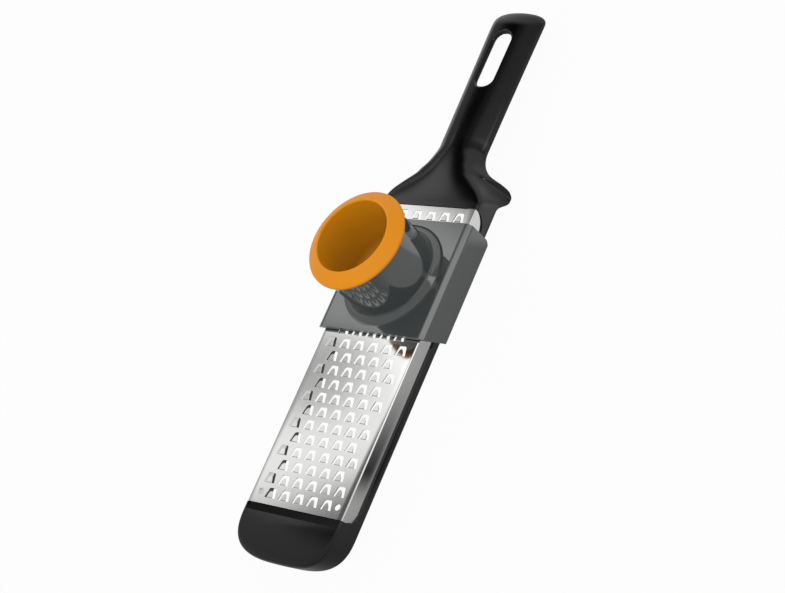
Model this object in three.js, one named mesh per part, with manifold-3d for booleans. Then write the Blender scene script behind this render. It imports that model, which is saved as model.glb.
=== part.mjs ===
// Hand grater: a folded steel blade in a moulded frame, with a food holder that slides along the rails.
// Millimetres. X runs across the tool, Y from the toe to the handle, Z up from the face of the blade.
// Pieces are drawn with Y = 0 where the bare steel starts at the toe and Z = 0 on the face of the blade.
import * as THREE from "three";
import { mergeGeometries, mergeVertices } from "three/addons/utils/BufferGeometryUtils.js";
import Module from "manifold-3d";

const wasm = await Module();
wasm.setup();

// Gaps
const FIT = 0.3; // between pieces that stay put
const SLIDE = 0.4; // between pieces that slide on each other
const SINK = 0.05; // how far a join is sunk so that two faces never just touch
const OVERRUN = 1; // how far a cut runs past the face that it opens
const MERGE = 1e-4; // points closer than this are one point

// Steel blade
const BLADE_WIDTH = 61.2; // over the folded flanges
const BLADE_LENGTH = 169.2; // opening in the frame that the blade fills
const SHEET = 0.4;
const FOLD_INSIDE = 0.3; // inside radius of the fold
const FLANGE_DEPTH = 8.9; // from the face to the lower edge of a flange
const FLANGE_STRAIGHT = 0.7; // straight end of a flange above its rounded corner
const TAB_MARGIN = 5.6; // from a flange to the folded tab at each end of the sheet
const TAB_DEPTH = 4;

// Teeth of the blade: arched slits, each round a tongue that stands up towards the handle
const ROW_PITCH = 7.5;
const TOOTH_PITCH = 9;
const FIRST_ROW = 6.2; // middle of the first row, from the toe end of the steel
const ROW_END_MARGIN = 5; // bare steel kept past the middle of the last row
const ROW_SIDE_MARGIN = 4.6; // bare steel kept beside a wide row
const TOOTH_HEIGHT = 5.2;
const TOOTH_BASE = 6.8;
const TOOTH_TOP = 2.8;
const TOOTH_SHOULDER = 1.1; // height of the cut corners at the top of an arch
const TOOTH_HIP = 4.7; // width of an arch at its cut corners
const SLIT = 1.7;
const TONGUE_TIP = 1.6; // width of a tongue at its tip
const TONGUE_RISE = 0.3;
const TONGUE_ROOT = 0.3; // how far a tongue runs back into the sheet
const PIN_HOLE = 3.3; // locating holes at the ends of the first row
const PIN_GAP = 3.6; // from the last tooth to the middle of a locating hole

// Frame: rails, toe, shoulder with lugs, and handle, in one moulding
const RIM = 0.3; // top of the frame over the face of the blade
const RAIL_PROUD = 1; // rails stand out past the flanges
const TOP_PROUD = 0.3; // top edge of the frame past the flanges
const LEDGE = 4; // height of the rail below a flange
const SHELL = 2.6; // side wall of the toe, the shoulder and the handle
const TOP_SHELL = 2.2; // top wall of the toe, the shoulder and the handle
const CROSS_WALL = 1.5; // walls beside the folded tabs
const RAIL_SHARPNESS = 12; // weight of the section's corner: high is crisp
const ARCH_SHARPNESS = Math.SQRT1_2; // weight that makes the section an ellipse
const TOE_LENGTH = 26.9;
const TOE_ROUND = 25; // length of the rounded stretch
const TOE_POWER = 3; // exponent of the rounded outline
const TOE_UNDERCUT = 3.5; // how far the nose slopes back at its lower edge
const TOE_EDGE = 1.2; // rounding of the toe's top edge
const RAMP_LENGTH = 3.7; // sloping band between the toe and the steel
const RAMP_DROP = 0.8;
const RAMP_MARGIN = 1.6; // rim left beside the band
const STOP_DEPTH = 1.4; // stops beside the rails, which end the holder's travel
const STOP_WIDTH = 2;
const STOP_LENGTH = 3.3;
const SHOULDER_START = 3; // places along the shoulder are from the handle end of the steel
const SHOULDER_END = 30.5;
const CREASE_HALF = 11.4; // half width of the flat top where the shoulder ends
const CREASE_FADE_START = 20;
const CREASE_FADE_END = 43.5;
const CREASE_SOFTEN_START = 17; // from here to the neck the crease grows rounder
const SHOULDER_SAG = 2; // how far the shoulder's top falls towards its creases
const LUG_START = 7;
const LUG_RISE = 9.7; // length of the lug's front slope
const LUG_FLAT = 2.3;
const LUG_FALL = 4.6; // length of the lug's back slope
const LUG_BACK = 2.6; // from the flat to the back of the lug
const LUG_DROP = 7; // depth of the lugs below the rails
const NECK = 37.5; // where the handle starts
const GRIP_LENGTH = 83.8;
const GRIP_HALF = 15.45;
const GRIP_FLARE = 1.2; // how much wider the handle is at its end, on each side
const GRIP_BACK = 8.6; // back edge of the handle below the face of the blade
const GRIP_CROWN = 0.8; // crown of the handle over the face of the blade
const GRIP_FALL = 0.8; // how much the crown falls to the end of the handle
const TIP_CORNER = 5.5; // rounding of the handle's end in plan
const TIP_EDGE = 5; // how far the crown falls at the handle's end
const TIP_RUN = 11; // length over which it falls
const SLOT_LENGTH = 34;
const SLOT_WIDTH = 11;
const SLOT_FLAT = 1; // straight stretch at each end of the slot
const SLOT_END = 15; // from the slot to the end of the handle
const RIB = 1.6; // ribs across the hollow of the handle
const RIB_COUNT = 3;
const RIB_CLEAR = 3; // ribs stop short of the back edge

// Soft foot pressed into the toe
const FOOT_PLUG = 7; // height of the plug inside the toe
const FOOT_STEP = 4.5; // how far the sole is set in from the plug
const FOOT_TAPER = 1.5;
const FOOT_EDGE = 1;
const FOOT_BACK = 2; // the sole starts this far from the steel

// Sliding food holder: a plate over the blade, walls that hook under the rails, and a tube
const PLATE = 2.3;
const HOLDER_WALL = 1.9;
const HOLDER_FLARE = 0.2; // how much the walls lean out on each side
const HOLDER_FOLD = 3.5; // rounding between the plate and the walls
const HOOK = 1.6; // thickness of the hooks
const HOOK_REACH = 2.4; // how far the hooks run under the rails
const HOLDER_SLANT = 6.9; // how far the walls' front edges slope back
const HOLDER_CORNER = 4;
const HOLDER_GAP = 10; // from the plate to the handle end of the steel, as photographed
const TUBE_RADIUS = 24.3;
const TUBE_WALL = 2;
const TUBE_HEIGHT = 32.7; // above the plate
const TUBE_FILLET = 4.5;
const TUBE_LIP = 0.5; // rounding of the tube's mouth
const PLATE_MARGIN = 3.2; // plate left in front of and behind the tube's fillet

// Pusher: a hollow cup with a flared collar and blunt spikes under its floor
const COLLAR_OVERHANG = 2.8; // past the tube
const COLLAR_EDGE = 1.5; // height of the collar's outer edge
const COLLAR_RISE = 4.2; // from the collar's edge to the top of the cup
const COLLAR_LAP = 1; // how far the collar hangs over the tube
const CUP_WALL = 2.1;
const CUP_LIP = 0.8; // rounding between the collar and the hollow
const CUP_FLOOR = 1.6;
const CUP_FILLET = 5;
const SPIKE_RADIUS = 1.6;
const SPIKE_HEIGHT = 2.4;
const SPIKE_RING = 13;
const SPIKES = 6;
const SPIKE_CLEAR = 0.8; // between the spikes and the tongues of the blade

// Facets
const ROUND = 48; // sides of a full circle
const FINE_ROUND = 12; // sides of small holes
const BEND = 4; // steps in a rounded corner
const HALF_SECTION = 8; // steps in half of a frame section
const NOSE_STEPS = 24;
const SHOULDER_STEP = 1.5; // between frame sections
const GRIP_STEPS = 6;
const TIP_STEPS = 8;

// Places worked out from the sizes
const bladeHalf = BLADE_WIDTH / 2;
const bladeInside = bladeHalf - SHEET;
const foldRadius = FOLD_INSIDE + SHEET;
const flangeCorner = FLANGE_DEPTH - FLANGE_STRAIGHT;
const tabHalf = bladeHalf - TAB_MARGIN;
const frameHalf = bladeHalf + RAIL_PROUD;
const topHalf = bladeHalf + TOP_PROUD;
const ledgeTop = -(FLANGE_DEPTH + FIT);
const railBottom = ledgeTop - LEDGE;
const restPlane = railBottom - LUG_DROP;
const tabSlot = SHEET + 2 * FIT;
const neckY = BLADE_LENGTH + NECK;
const tipY = neckY + GRIP_LENGTH;
const plateUnder = Math.max(TONGUE_RISE, RIM) + SLIDE;
const plateTop = plateUnder + PLATE;
const hookTop = railBottom - SLIDE;
const hookBottom = hookTop - HOOK;
const holderInner = frameHalf + SLIDE;
const holderOuter = holderInner + HOLDER_WALL;
const holderHalfLength = TUBE_RADIUS + TUBE_FILLET + PLATE_MARGIN;
const tubeTop = plateTop + TUBE_HEIGHT;
const boreRadius = TUBE_RADIUS - TUBE_WALL;
const collarRadius = TUBE_RADIUS + COLLAR_OVERHANG;
const beyond = 2 * BLADE_LENGTH; // past the end of everything, for cuts that run right through

const X = new THREE.Vector3(1, 0, 0);
const Y = new THREE.Vector3(0, 1, 0);
const Z = new THREE.Vector3(0, 0, 1);
const { lerp, smoothstep } = THREE.MathUtils;

// A closed surface as a solid that can be joined and cut.
function solid(geometry) {
  const bare = new THREE.BufferGeometry();
  bare.setAttribute("position", geometry.getAttribute("position"));
  bare.setIndex(geometry.index);
  const merged = mergeVertices(bare, MERGE);
  return new wasm.Manifold(
    new wasm.Mesh({
      numProp: 3,
      vertProperties: new Float32Array(merged.getAttribute("position").array),
      triVerts: new Uint32Array(merged.index.array),
    }),
  );
}

// A solid as a geometry, for its mesh.
function surface(body) {
  const { vertProperties, triVerts } = body.getMesh();
  const geometry = new THREE.BufferGeometry();
  geometry.setAttribute("position", new THREE.BufferAttribute(vertProperties, 3));
  geometry.setIndex(new THREE.BufferAttribute(triVerts, 1));
  geometry.computeVertexNormals();
  return geometry;
}

// A box between two corners.
function box(x0, x1, y0, y1, z0, z1) {
  const block = new THREE.BoxGeometry(x1 - x0, y1 - y0, z1 - z0);
  return solid(block.translate((x0 + x1) / 2, (y0 + y1) / 2, (z0 + z1) / 2));
}

// A flat outline drawn out to a straight prism. Its two coordinates are x and y, y and z, or x and z.
function prismZ(outline, z0, z1) {
  const options = { depth: z1 - z0, bevelEnabled: false, curveSegments: BEND };
  return new THREE.ExtrudeGeometry(outline, options).translate(0, 0, z0);
}

function prismX(outline, x0, x1) {
  return prismZ(outline, x0, x1).applyMatrix4(new THREE.Matrix4().makeBasis(Y, Z, X));
}

function prismY(outline, y0, y1) {
  return prismZ(outline, -y1, -y0).applyMatrix4(new THREE.Matrix4().makeBasis(X, Z, Y.clone().negate()));
}

// A rectangle whose four corners, anticlockwise from the lower left, have their own rounding.
function roundedRectangle(a0, a1, b0, b1, [r00, r10, r11, r01]) {
  const outline = new THREE.Shape();
  outline.moveTo(a0 + r00, b0);
  outline.lineTo(a1 - r10, b0);
  if (r10) outline.absarc(a1 - r10, b0 + r10, r10, -Math.PI / 2, 0);
  outline.lineTo(a1, b1 - r11);
  if (r11) outline.absarc(a1 - r11, b1 - r11, r11, 0, Math.PI / 2);
  outline.lineTo(a0 + r01, b1);
  if (r01) outline.absarc(a0 + r01, b1 - r01, r01, Math.PI / 2, Math.PI);
  outline.lineTo(a0, b0 + r00);
  if (r00) outline.absarc(a0 + r00, b0 + r00, r00, Math.PI, 1.5 * Math.PI);
  return outline;
}

// A polygon as an outline.
function polygon(points) {
  return new THREE.Shape(points.map(([a, b]) => new THREE.Vector2(a, b)));
}

// A skin through rings of equally many points, closed by flat ends. Each ring turns by the right-hand rule
// about the way that the rings follow each other, and flat gives the ring's two coordinates for its end.
function loft(rings, flat) {
  const count = rings[0].length;
  const positions = rings.flat().flatMap((point) => point.toArray());
  const faces = [];
  for (let i = 0; i + 1 < rings.length; i++) {
    for (let j = 0; j < count; j++) {
      const a = i * count + j;
      const b = i * count + ((j + 1) % count);
      faces.push(a, b, b + count, a, b + count, a + count);
    }
  }
  const last = (rings.length - 1) * count;
  for (const [i, j, k] of THREE.ShapeUtils.triangulateShape(rings[0].map(flat), [])) faces.push(i, k, j);
  for (const [i, j, k] of THREE.ShapeUtils.triangulateShape(rings.at(-1).map(flat), []))
    faces.push(last + i, last + j, last + k);
  const skin = new THREE.BufferGeometry();
  skin.setAttribute("position", new THREE.Float32BufferAttribute(positions, 3));
  skin.setIndex(faces);
  return solid(skin);
}

// Round piece about the Z axis, from its half section as radius and height.
function turned(profile) {
  const points = profile.map(([radius, height]) => new THREE.Vector2(radius, height));
  return solid(new THREE.LatheGeometry(points, ROUND).rotateX(Math.PI / 2));
}

// Points on an arc, from one angle to another in quarter turns.
function arc(centreA, centreB, radius, from, to, steps = BEND) {
  return Array.from({ length: steps + 1 }, (_, i) => {
    const angle = (Math.PI / 2) * lerp(from, to, i / steps);
    return [centreA + radius * Math.cos(angle), centreB + radius * Math.sin(angle)];
  });
}

// Outline of the blade's side: a strip whose lower corners are rounded. Grown, it is the seat in the frame.
function flangeOutline(grow) {
  const corner = flangeCorner + grow;
  const [start, end] = [FIT - grow, BLADE_LENGTH - FIT + grow];
  return roundedRectangle(start, end, -FLANGE_DEPTH - grow, OVERRUN, [corner, corner, 0, 0]);
}

// Middles of the teeth, row by row. Rows are alternately narrow and wide.
function toothPlaces() {
  const rows = 1 + Math.floor((BLADE_LENGTH - FIRST_ROW - ROW_END_MARGIN) / ROW_PITCH);
  const wide = 1 + Math.floor((BLADE_WIDTH - 2 * ROW_SIDE_MARGIN - TOOTH_BASE) / TOOTH_PITCH);
  return Array.from({ length: rows }, (_, row) => {
    const teeth = row % 2 ? wide : wide - 1;
    return Array.from({ length: teeth }, (_, i) => ({
      x: (i - (teeth - 1) / 2) * TOOTH_PITCH,
      y: FIRST_ROW + row * ROW_PITCH,
    }));
  });
}

// Steel blade: a sheet folded down along both sides and at the tabs, slit into teeth.
function blade() {
  const section = new THREE.Shape();
  const foldX = bladeHalf - foldRadius;
  section.moveTo(-bladeHalf, -FLANGE_DEPTH);
  section.lineTo(-bladeInside, -FLANGE_DEPTH);
  section.absarc(-foldX, -foldRadius, FOLD_INSIDE, Math.PI, Math.PI / 2, true);
  section.absarc(foldX, -foldRadius, FOLD_INSIDE, Math.PI / 2, 0, true);
  section.lineTo(bladeInside, -FLANGE_DEPTH);
  section.lineTo(bladeHalf, -FLANGE_DEPTH);
  section.absarc(foldX, -foldRadius, foldRadius, 0, Math.PI / 2);
  section.absarc(-foldX, -foldRadius, foldRadius, Math.PI / 2, Math.PI);

  const bottom = -TOOTH_HEIGHT / 2;
  const top = TOOTH_HEIGHT / 2;
  const arch = polygon([
    [-TOOTH_BASE / 2, bottom],
    [TOOTH_BASE / 2, bottom],
    [TOOTH_HIP / 2, top - TOOTH_SHOULDER],
    [TOOTH_TOP / 2, top],
    [-TOOTH_TOP / 2, top],
    [-TOOTH_HIP / 2, top - TOOTH_SHOULDER],
  ]);
  const tongueLength = TOOTH_HEIGHT - SLIT;
  const tongueBase = TOOTH_BASE / 2 - SLIT;
  const tongue = polygon([
    [-tongueBase, -TONGUE_ROOT],
    [tongueBase, -TONGUE_ROOT],
    [TONGUE_TIP / 2, tongueLength],
    [-TONGUE_TIP / 2, tongueLength],
  ]);
  const lean = Math.asin(TONGUE_RISE / tongueLength);
  const places = toothPlaces();
  const arches = places.flat().map(({ x, y }) => prismZ(arch, -SHEET - OVERRUN, OVERRUN).translate(x, y, 0));
  const tongues = places.flat().map(({ x, y }) =>
    prismZ(tongue, SINK - SHEET, -SINK)
      .rotateX(lean)
      .translate(x, y + bottom, 0),
  );
  const lastTooth = places[0].at(-1);
  const pinX = lastTooth.x + TOOTH_BASE / 2 + PIN_GAP;
  const pins = [-pinX, pinX].map((x) =>
    new THREE.CylinderGeometry(PIN_HOLE / 2, PIN_HOLE / 2, 2 * (SHEET + OVERRUN), FINE_ROUND)
      .rotateX(Math.PI / 2)
      .translate(x, lastTooth.y, 0),
  );
  let sheet = solid(prismY(section, 0, BLADE_LENGTH))
    .intersect(solid(prismX(flangeOutline(0), -beyond, beyond)))
    .subtract(solid(mergeGeometries(arches)))
    .subtract(solid(mergeGeometries(pins)))
    .add(solid(mergeGeometries(tongues)));
  for (const y of [FIT, BLADE_LENGTH - FIT - SHEET])
    sheet = sheet.add(box(-tabHalf, tabHalf, y, y + SHEET, -TAB_DEPTH, -SINK));
  return sheet;
}

// Sizes of the frame's section at y, drawn in by a wall: half width at the back edge and at the crease,
// height of the crown and of the back edge, how crisp the crease is, and how far the top falls towards it.
function frameSection(y, wall = 0, topWall = 0) {
  const s = y - BLADE_LENGTH;
  const lugEnd = LUG_START + LUG_RISE + LUG_FLAT;
  const lugBack = lugEnd + LUG_BACK;
  const alongGrip = THREE.MathUtils.clamp((s - NECK) / GRIP_LENGTH, 0, 1);
  const hollowed = THREE.MathUtils.clamp((NECK - s) / (NECK - lugBack), 0, 1);
  const gripHalf = GRIP_HALF + GRIP_FLARE * alongGrip ** 1.5;
  const backHalf = lerp(gripHalf, frameHalf, 1 - Math.sqrt(1 - hollowed ** 2));
  const crease = lerp(topHalf, CREASE_HALF, smoothstep(s, SHOULDER_START, SHOULDER_END));
  const lug = lerp(railBottom, restPlane, smoothstep(s, LUG_START, LUG_START + LUG_RISE));
  const pastTip = (length) => Math.max(0, y - (tipY - wall - length));
  const rounding = (length) => 1 - Math.sqrt(Math.max(0, 1 - (pastTip(length) / length) ** 2));
  const narrowing = wall + TIP_CORNER * rounding(TIP_CORNER);
  const crownRise = smoothstep(s, SHOULDER_START, NECK) * (GRIP_CROWN - RIM);
  const sagRise = SHOULDER_SAG * smoothstep(s, SHOULDER_START, SHOULDER_END);
  return {
    back: backHalf - narrowing,
    crease: lerp(crease, backHalf, smoothstep(s, CREASE_FADE_START, CREASE_FADE_END)) - narrowing,
    crown: RIM + crownRise - GRIP_FALL * alongGrip ** 2 - topWall - TIP_EDGE * rounding(TIP_RUN),
    edge: lerp(lug, -GRIP_BACK, smoothstep(s, lugEnd, lugEnd + LUG_FALL)),
    sharpness: RAIL_SHARPNESS * (ARCH_SHARPNESS / RAIL_SHARPNESS) ** smoothstep(s, CREASE_SOFTEN_START, NECK),
    sag: sagRise * (1 - smoothstep(s, SHOULDER_END, CREASE_FADE_END)),
  };
}

// Ring of the section at y, from its left back edge over the crown to its right. Each half is a conic from
// the back edge to the crown, pulled to the crease by its weight. A drop takes the ring's ends further down.
function frameRing(y, wall, topWall, drop) {
  const { back, crease, crown, edge, sharpness, sag } = frameSection(y, wall, topWall);
  const right = Array.from({ length: HALF_SECTION + 1 }, (_, i) => {
    const t = i / HALF_SECTION;
    const weights = [t * t, 2 * t * (1 - t) * sharpness, (1 - t) * (1 - t)];
    const sum = weights[0] + weights[1] + weights[2];
    const x = (weights[0] * back + weights[1] * crease) / sum;
    const flat = (weights[0] * edge + (weights[1] + weights[2]) * crown) / sum;
    const z = flat - sag * (weights[1] / sum) ** 3;
    return new THREE.Vector3(x, y, z);
  });
  if (drop) right.push(new THREE.Vector3(back, y, edge - drop));
  const left = right.slice(1).map(({ x, z }) => new THREE.Vector3(-x, y, z));
  return [...left.reverse(), ...right];
}

// Sections of the frame from y0 to the tip, close together on the shoulder and at the rounded end.
function frameBody(y0, wall, topWall, drop) {
  const end = tipY - wall;
  const tipStart = end - TIP_RUN;
  const shoulder = Math.ceil((CREASE_FADE_END - SHOULDER_START) / SHOULDER_STEP);
  const places = [y0];
  for (let i = 0; i <= shoulder; i++)
    places.push(BLADE_LENGTH + lerp(SHOULDER_START, CREASE_FADE_END, i / shoulder));
  for (let i = 1; i < GRIP_STEPS; i++)
    places.push(lerp(BLADE_LENGTH + CREASE_FADE_END, tipStart, i / GRIP_STEPS));
  for (let i = 0; i <= TIP_STEPS; i++)
    places.push(tipStart + TIP_RUN * Math.sin((Math.PI / 2) * (i / TIP_STEPS)));
  return loft(places.map((y) => frameRing(y, wall, topWall, drop)), ({ x, z }) => new THREE.Vector2(z, x));
}

// Outline of the toe at a height, drawn in by inset, with its straight end at y1.
function toeRing(z, inset, y1) {
  const level = Math.min((z - railBottom) / (RIM - TOE_EDGE - railBottom), 1);
  const half = lerp(frameHalf, topHalf, level) - inset;
  const round = Math.min(TOE_ROUND - TOE_LENGTH, y1 - SINK);
  const reach = round + TOE_LENGTH - TOE_UNDERCUT * (1 - level) - inset;
  const power = 2 / TOE_POWER;
  const nose = Array.from({ length: NOSE_STEPS + 1 }, (_, i) => {
    const angle = Math.PI * (1 + i / NOSE_STEPS);
    const x = half * Math.sign(Math.cos(angle)) * Math.abs(Math.cos(angle)) ** power;
    return new THREE.Vector3(x, round - reach * Math.abs(Math.sin(angle)) ** power, z);
  });
  return [new THREE.Vector3(half, y1, z), new THREE.Vector3(-half, y1, z), ...nose];
}

function toeBody(levels) {
  const rings = levels.map(([z, inset, y1]) => toeRing(z, inset, y1));
  return loft(rings, ({ x, y }) => new THREE.Vector2(x, y));
}

// Frame moulding, open at the back, with a window under the blade.
function frame() {
  const windowStart = tabSlot + CROSS_WALL;
  const seatDepth = SHEET + FIT;
  const toeOverlap = 2 * windowStart;
  const toe = toeBody([
    [railBottom, 0, toeOverlap],
    [RIM - TOE_EDGE, 0, toeOverlap],
    ...arc(0, RIM - TOE_EDGE, TOE_EDGE, 0, 1)
      .slice(1)
      .map(([reach, z]) => [z, TOE_EDGE - reach, toeOverlap]),
  ]);
  const toeHollow = toeBody([
    [2 * restPlane, SHELL, -CROSS_WALL],
    [RIM - TOP_SHELL, SHELL, -CROSS_WALL],
  ]);
  const hollow = frameBody(BLADE_LENGTH + CROSS_WALL, SHELL, TOP_SHELL, beyond);
  let moulding = toe.add(frameBody(windowStart, 0, 0, 0)).subtract(toeHollow).subtract(hollow);

  // Ribs across the handle, between the neck and the slot.
  const slotTop = tipY - SLOT_END;
  const slotBottom = slotTop - SLOT_LENGTH;
  const ribBottom = -GRIP_BACK + RIB_CLEAR;
  const ribFill = frameBody(BLADE_LENGTH + CROSS_WALL, SHELL - SINK, TOP_SHELL - SINK, 0);
  for (let i = 0; i < RIB_COUNT; i++) {
    const y = lerp(neckY, slotBottom, (i + 0.5) / RIB_COUNT);
    const rib = box(-frameHalf, frameHalf, y - RIB / 2, y + RIB / 2, ribBottom, beyond);
    moulding = moulding.add(rib.intersect(ribFill));
  }

  // Seat of the blade: its face, its flanges and its tab at the toe. The other tab stands against the shoulder.
  const wide = 2 * frameHalf;
  const seats = [box(-wide, wide, 0, BLADE_LENGTH, -seatDepth, beyond)];
  const flangeSeat = bladeInside - FIT;
  seats.push(solid(prismX(flangeOutline(FIT), flangeSeat, wide)));
  seats.push(solid(prismX(flangeOutline(FIT), -wide, -flangeSeat)));
  const tabSeat = tabHalf + FIT;
  seats.push(box(-tabSeat, tabSeat, 0, tabSlot, -TAB_DEPTH - FIT, 0));

  // Window that lets the gratings fall, sloping band at the toe, and hanging slot.
  seats.push(box(-bladeInside, bladeInside, windowStart, BLADE_LENGTH, -beyond, beyond));
  const outletTop = -(TAB_DEPTH + FIT + CROSS_WALL);
  const outletEnd = BLADE_LENGTH + CROSS_WALL + OVERRUN;
  seats.push(box(-tabHalf, tabHalf, BLADE_LENGTH - OVERRUN, outletEnd, -beyond, outletTop));
  const ramp = polygon([
    [-RAMP_LENGTH, RIM],
    [0, RIM - RAMP_DROP],
    [0, RIM + OVERRUN],
    [-RAMP_LENGTH, RIM + OVERRUN],
  ]);
  seats.push(solid(prismX(ramp, RAMP_MARGIN - topHalf, topHalf - RAMP_MARGIN)));
  const corners = Array(4).fill((SLOT_WIDTH - SLOT_FLAT) / 2);
  const slot = roundedRectangle(-SLOT_WIDTH / 2, SLOT_WIDTH / 2, slotBottom, slotTop, corners);
  seats.push(solid(prismZ(slot, -beyond, beyond)));
  for (const seat of seats) moulding = moulding.subtract(seat);

  // Stops beside the rails, on the wall behind the toe.
  for (const side of [-1, 1]) {
    const edges = [side * (bladeInside + SINK), side * (bladeInside - STOP_WIDTH)].sort((a, b) => a - b);
    const heights = [railBottom - STOP_DEPTH, railBottom + STOP_DEPTH];
    moulding = moulding.add(box(...edges, windowStart - CROSS_WALL, windowStart + STOP_LENGTH, ...heights));
  }
  return moulding;
}

// Soft foot: a plug that fills the toe's hollow, with a sole level with the lugs.
function toeFoot() {
  const plug = SHELL + FIT;
  const sole = plug + FOOT_STEP;
  return toeBody([
    [restPlane, sole + FOOT_TAPER + FOOT_EDGE, -FOOT_BACK - FOOT_TAPER - FOOT_EDGE],
    [restPlane + FOOT_EDGE, sole + FOOT_TAPER, -FOOT_BACK - FOOT_TAPER],
    [railBottom, sole, -FOOT_BACK],
    [railBottom, plug, -CROSS_WALL - FIT],
    [railBottom + FOOT_PLUG, plug, -CROSS_WALL - FIT],
  ]);
}

// Food holder, drawn about the tube's middle: a plate with hooked walls, and the tube.
function holder() {
  const lean = (z) => HOLDER_FLARE * ((plateTop - z) / (plateTop - hookBottom));
  const outer = holderOuter + lean(hookBottom);
  const hookEnd = frameHalf - HOOK_REACH;
  const edge = HOOK / 2;
  const half = [
    [0, plateTop],
    ...arc(holderOuter - HOLDER_FOLD, plateTop - HOLDER_FOLD, HOLDER_FOLD, 1, 0),
    [outer, hookBottom + edge],
    [outer - edge, hookBottom],
    [hookEnd, hookBottom],
    [hookEnd, hookTop],
    [holderInner, hookTop],
    ...arc(holderInner - HOLDER_FOLD / 2, plateUnder - HOLDER_FOLD / 2, HOLDER_FOLD / 2, 0, 1),
    [0, plateUnder],
  ];
  const mirrored = half.slice(1, -1).map(([x, z]) => [-x, z]);
  const section = polygon([...half, ...mirrored.reverse()].reverse());
  const front = -holderHalfLength;
  const back = holderHalfLength;
  const side = new THREE.Shape();
  side.moveTo(front, plateTop + OVERRUN);
  side.lineTo(front, plateUnder);
  side.lineTo(front + HOLDER_SLANT, hookBottom);
  side.lineTo(back - HOLDER_CORNER, hookBottom);
  side.absarc(back - HOLDER_CORNER, hookBottom + HOLDER_CORNER, HOLDER_CORNER, -Math.PI / 2, 0);
  side.lineTo(back, plateTop + OVERRUN);
  const tube = turned([
    [0, plateUnder + PLATE / 2],
    [TUBE_RADIUS + TUBE_FILLET, plateUnder + PLATE / 2],
    ...arc(TUBE_RADIUS + TUBE_FILLET, plateTop + TUBE_FILLET - SINK, TUBE_FILLET, -1, -2, 2 * BEND),
    ...arc(TUBE_RADIUS - TUBE_LIP, tubeTop - TUBE_LIP, TUBE_LIP, 0, 1, 2),
    [0, tubeTop],
  ]);
  const bore = turned([
    [0, plateUnder - OVERRUN],
    [boreRadius, plateUnder - OVERRUN],
    [boreRadius, tubeTop + OVERRUN],
    [0, tubeTop + OVERRUN],
  ]);
  return solid(prismY(section, front - OVERRUN, back + OVERRUN))
    .intersect(solid(prismX(side, -beyond, beyond)))
    .add(tube)
    .subtract(bore);
}

// Pusher, drawn about its own axis and pushed right in: its collar lies on the mouth of the tube.
function pusher() {
  const skirt = boreRadius - SLIDE;
  const hollow = skirt - CUP_WALL;
  const floorUnder = TONGUE_RISE + SPIKE_CLEAR + SPIKE_HEIGHT;
  const floorTop = floorUnder + CUP_FLOOR;
  const collarUnder = tubeTop + FIT;
  const collarBottom = collarUnder - COLLAR_LAP;
  const collarTop = collarBottom + COLLAR_EDGE;
  const cupTop = collarTop + COLLAR_RISE;
  const lap = TUBE_RADIUS + SLIDE;
  const edge = COLLAR_EDGE / 3;
  const cup = turned([
    [0, floorUnder],
    [skirt - CUP_FLOOR / 2, floorUnder],
    [skirt, floorUnder + CUP_FLOOR / 2],
    [skirt, collarUnder],
    [lap, collarUnder],
    [lap, collarBottom],
    [collarRadius - edge, collarBottom],
    [collarRadius, collarBottom + edge],
    [collarRadius, collarTop],
    ...arc(hollow + CUP_LIP, cupTop - CUP_LIP, CUP_LIP, 0.5, 2, 3),
    ...arc(hollow - CUP_FILLET, floorTop + CUP_FILLET, CUP_FILLET, 0, -1),
    [0, floorTop],
  ]);
  const spikes = Array.from({ length: SPIKES + 1 }, (_, i) => {
    const ring = i < SPIKES ? SPIKE_RING : 0;
    const angle = (2 * Math.PI * i) / SPIKES;
    const length = SPIKE_HEIGHT + SINK;
    return new THREE.ConeGeometry(SPIKE_RADIUS, length, FINE_ROUND / 2)
      .rotateX(-Math.PI / 2)
      .translate(ring * Math.cos(angle), ring * Math.sin(angle), floorUnder + SINK - length / 2);
  });
  return cup.add(solid(mergeGeometries(spikes)));
}

// Named mesh of a piece in its material.
function piece(name, body, material) {
  const mesh = new THREE.Mesh(surface(body), material);
  mesh.name = name;
  return mesh;
}

const nylon = new THREE.MeshStandardMaterial({ color: 0x1b1b1d, roughness: 0.42, metalness: 0 });
const steel = new THREE.MeshStandardMaterial({ color: 0xc9cbcc, roughness: 0.28, metalness: 1 });
const softRubber = new THREE.MeshStandardMaterial({ color: 0x232325, roughness: 0.85, metalness: 0 });
const greyPlastic = new THREE.MeshStandardMaterial({ color: 0x55595a, roughness: 0.15, metalness: 0 });
const orangePlastic = new THREE.MeshStandardMaterial({ color: 0xea8a16, roughness: 0.35, metalness: 0 });

// The food holder carries the pusher along the rails.
const slidingHolder = new THREE.Group();
slidingHolder.position.set(0, BLADE_LENGTH - HOLDER_GAP - holderHalfLength, 0);
slidingHolder.add(piece("food_holder", holder(), greyPlastic));
slidingHolder.add(piece("pusher", pusher(), orangePlastic));

// The whole grater lies level on its lugs and foot, with its middle over the origin.
const grater = new THREE.Group();
grater.position.set(0, (TOE_LENGTH - tipY) / 2, -restPlane);
grater.add(piece("frame", frame(), nylon));
grater.add(piece("blade", blade(), steel));
grater.add(piece("toe_foot", toeFoot(), softRubber));
grater.add(slidingHolder);

const part = new THREE.Group();
part.add(grater);

export default part;
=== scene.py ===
"""Dresses a coarse hand grater: a moulded frame, a slit steel blade, a soft foot, a sliding food holder and a pusher.

Sizes are millimetres in the drawing's frame: x runs across the tool, y from the toe to the handle with y = 0
where the bare steel starts, and z up from the face of the blade. Meshes are written in metres.
"""

import logging
import math
from dataclasses import dataclass, field
from enum import Enum

import bmesh
import bpy
import numpy as np
from mathutils import Matrix, Vector


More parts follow.
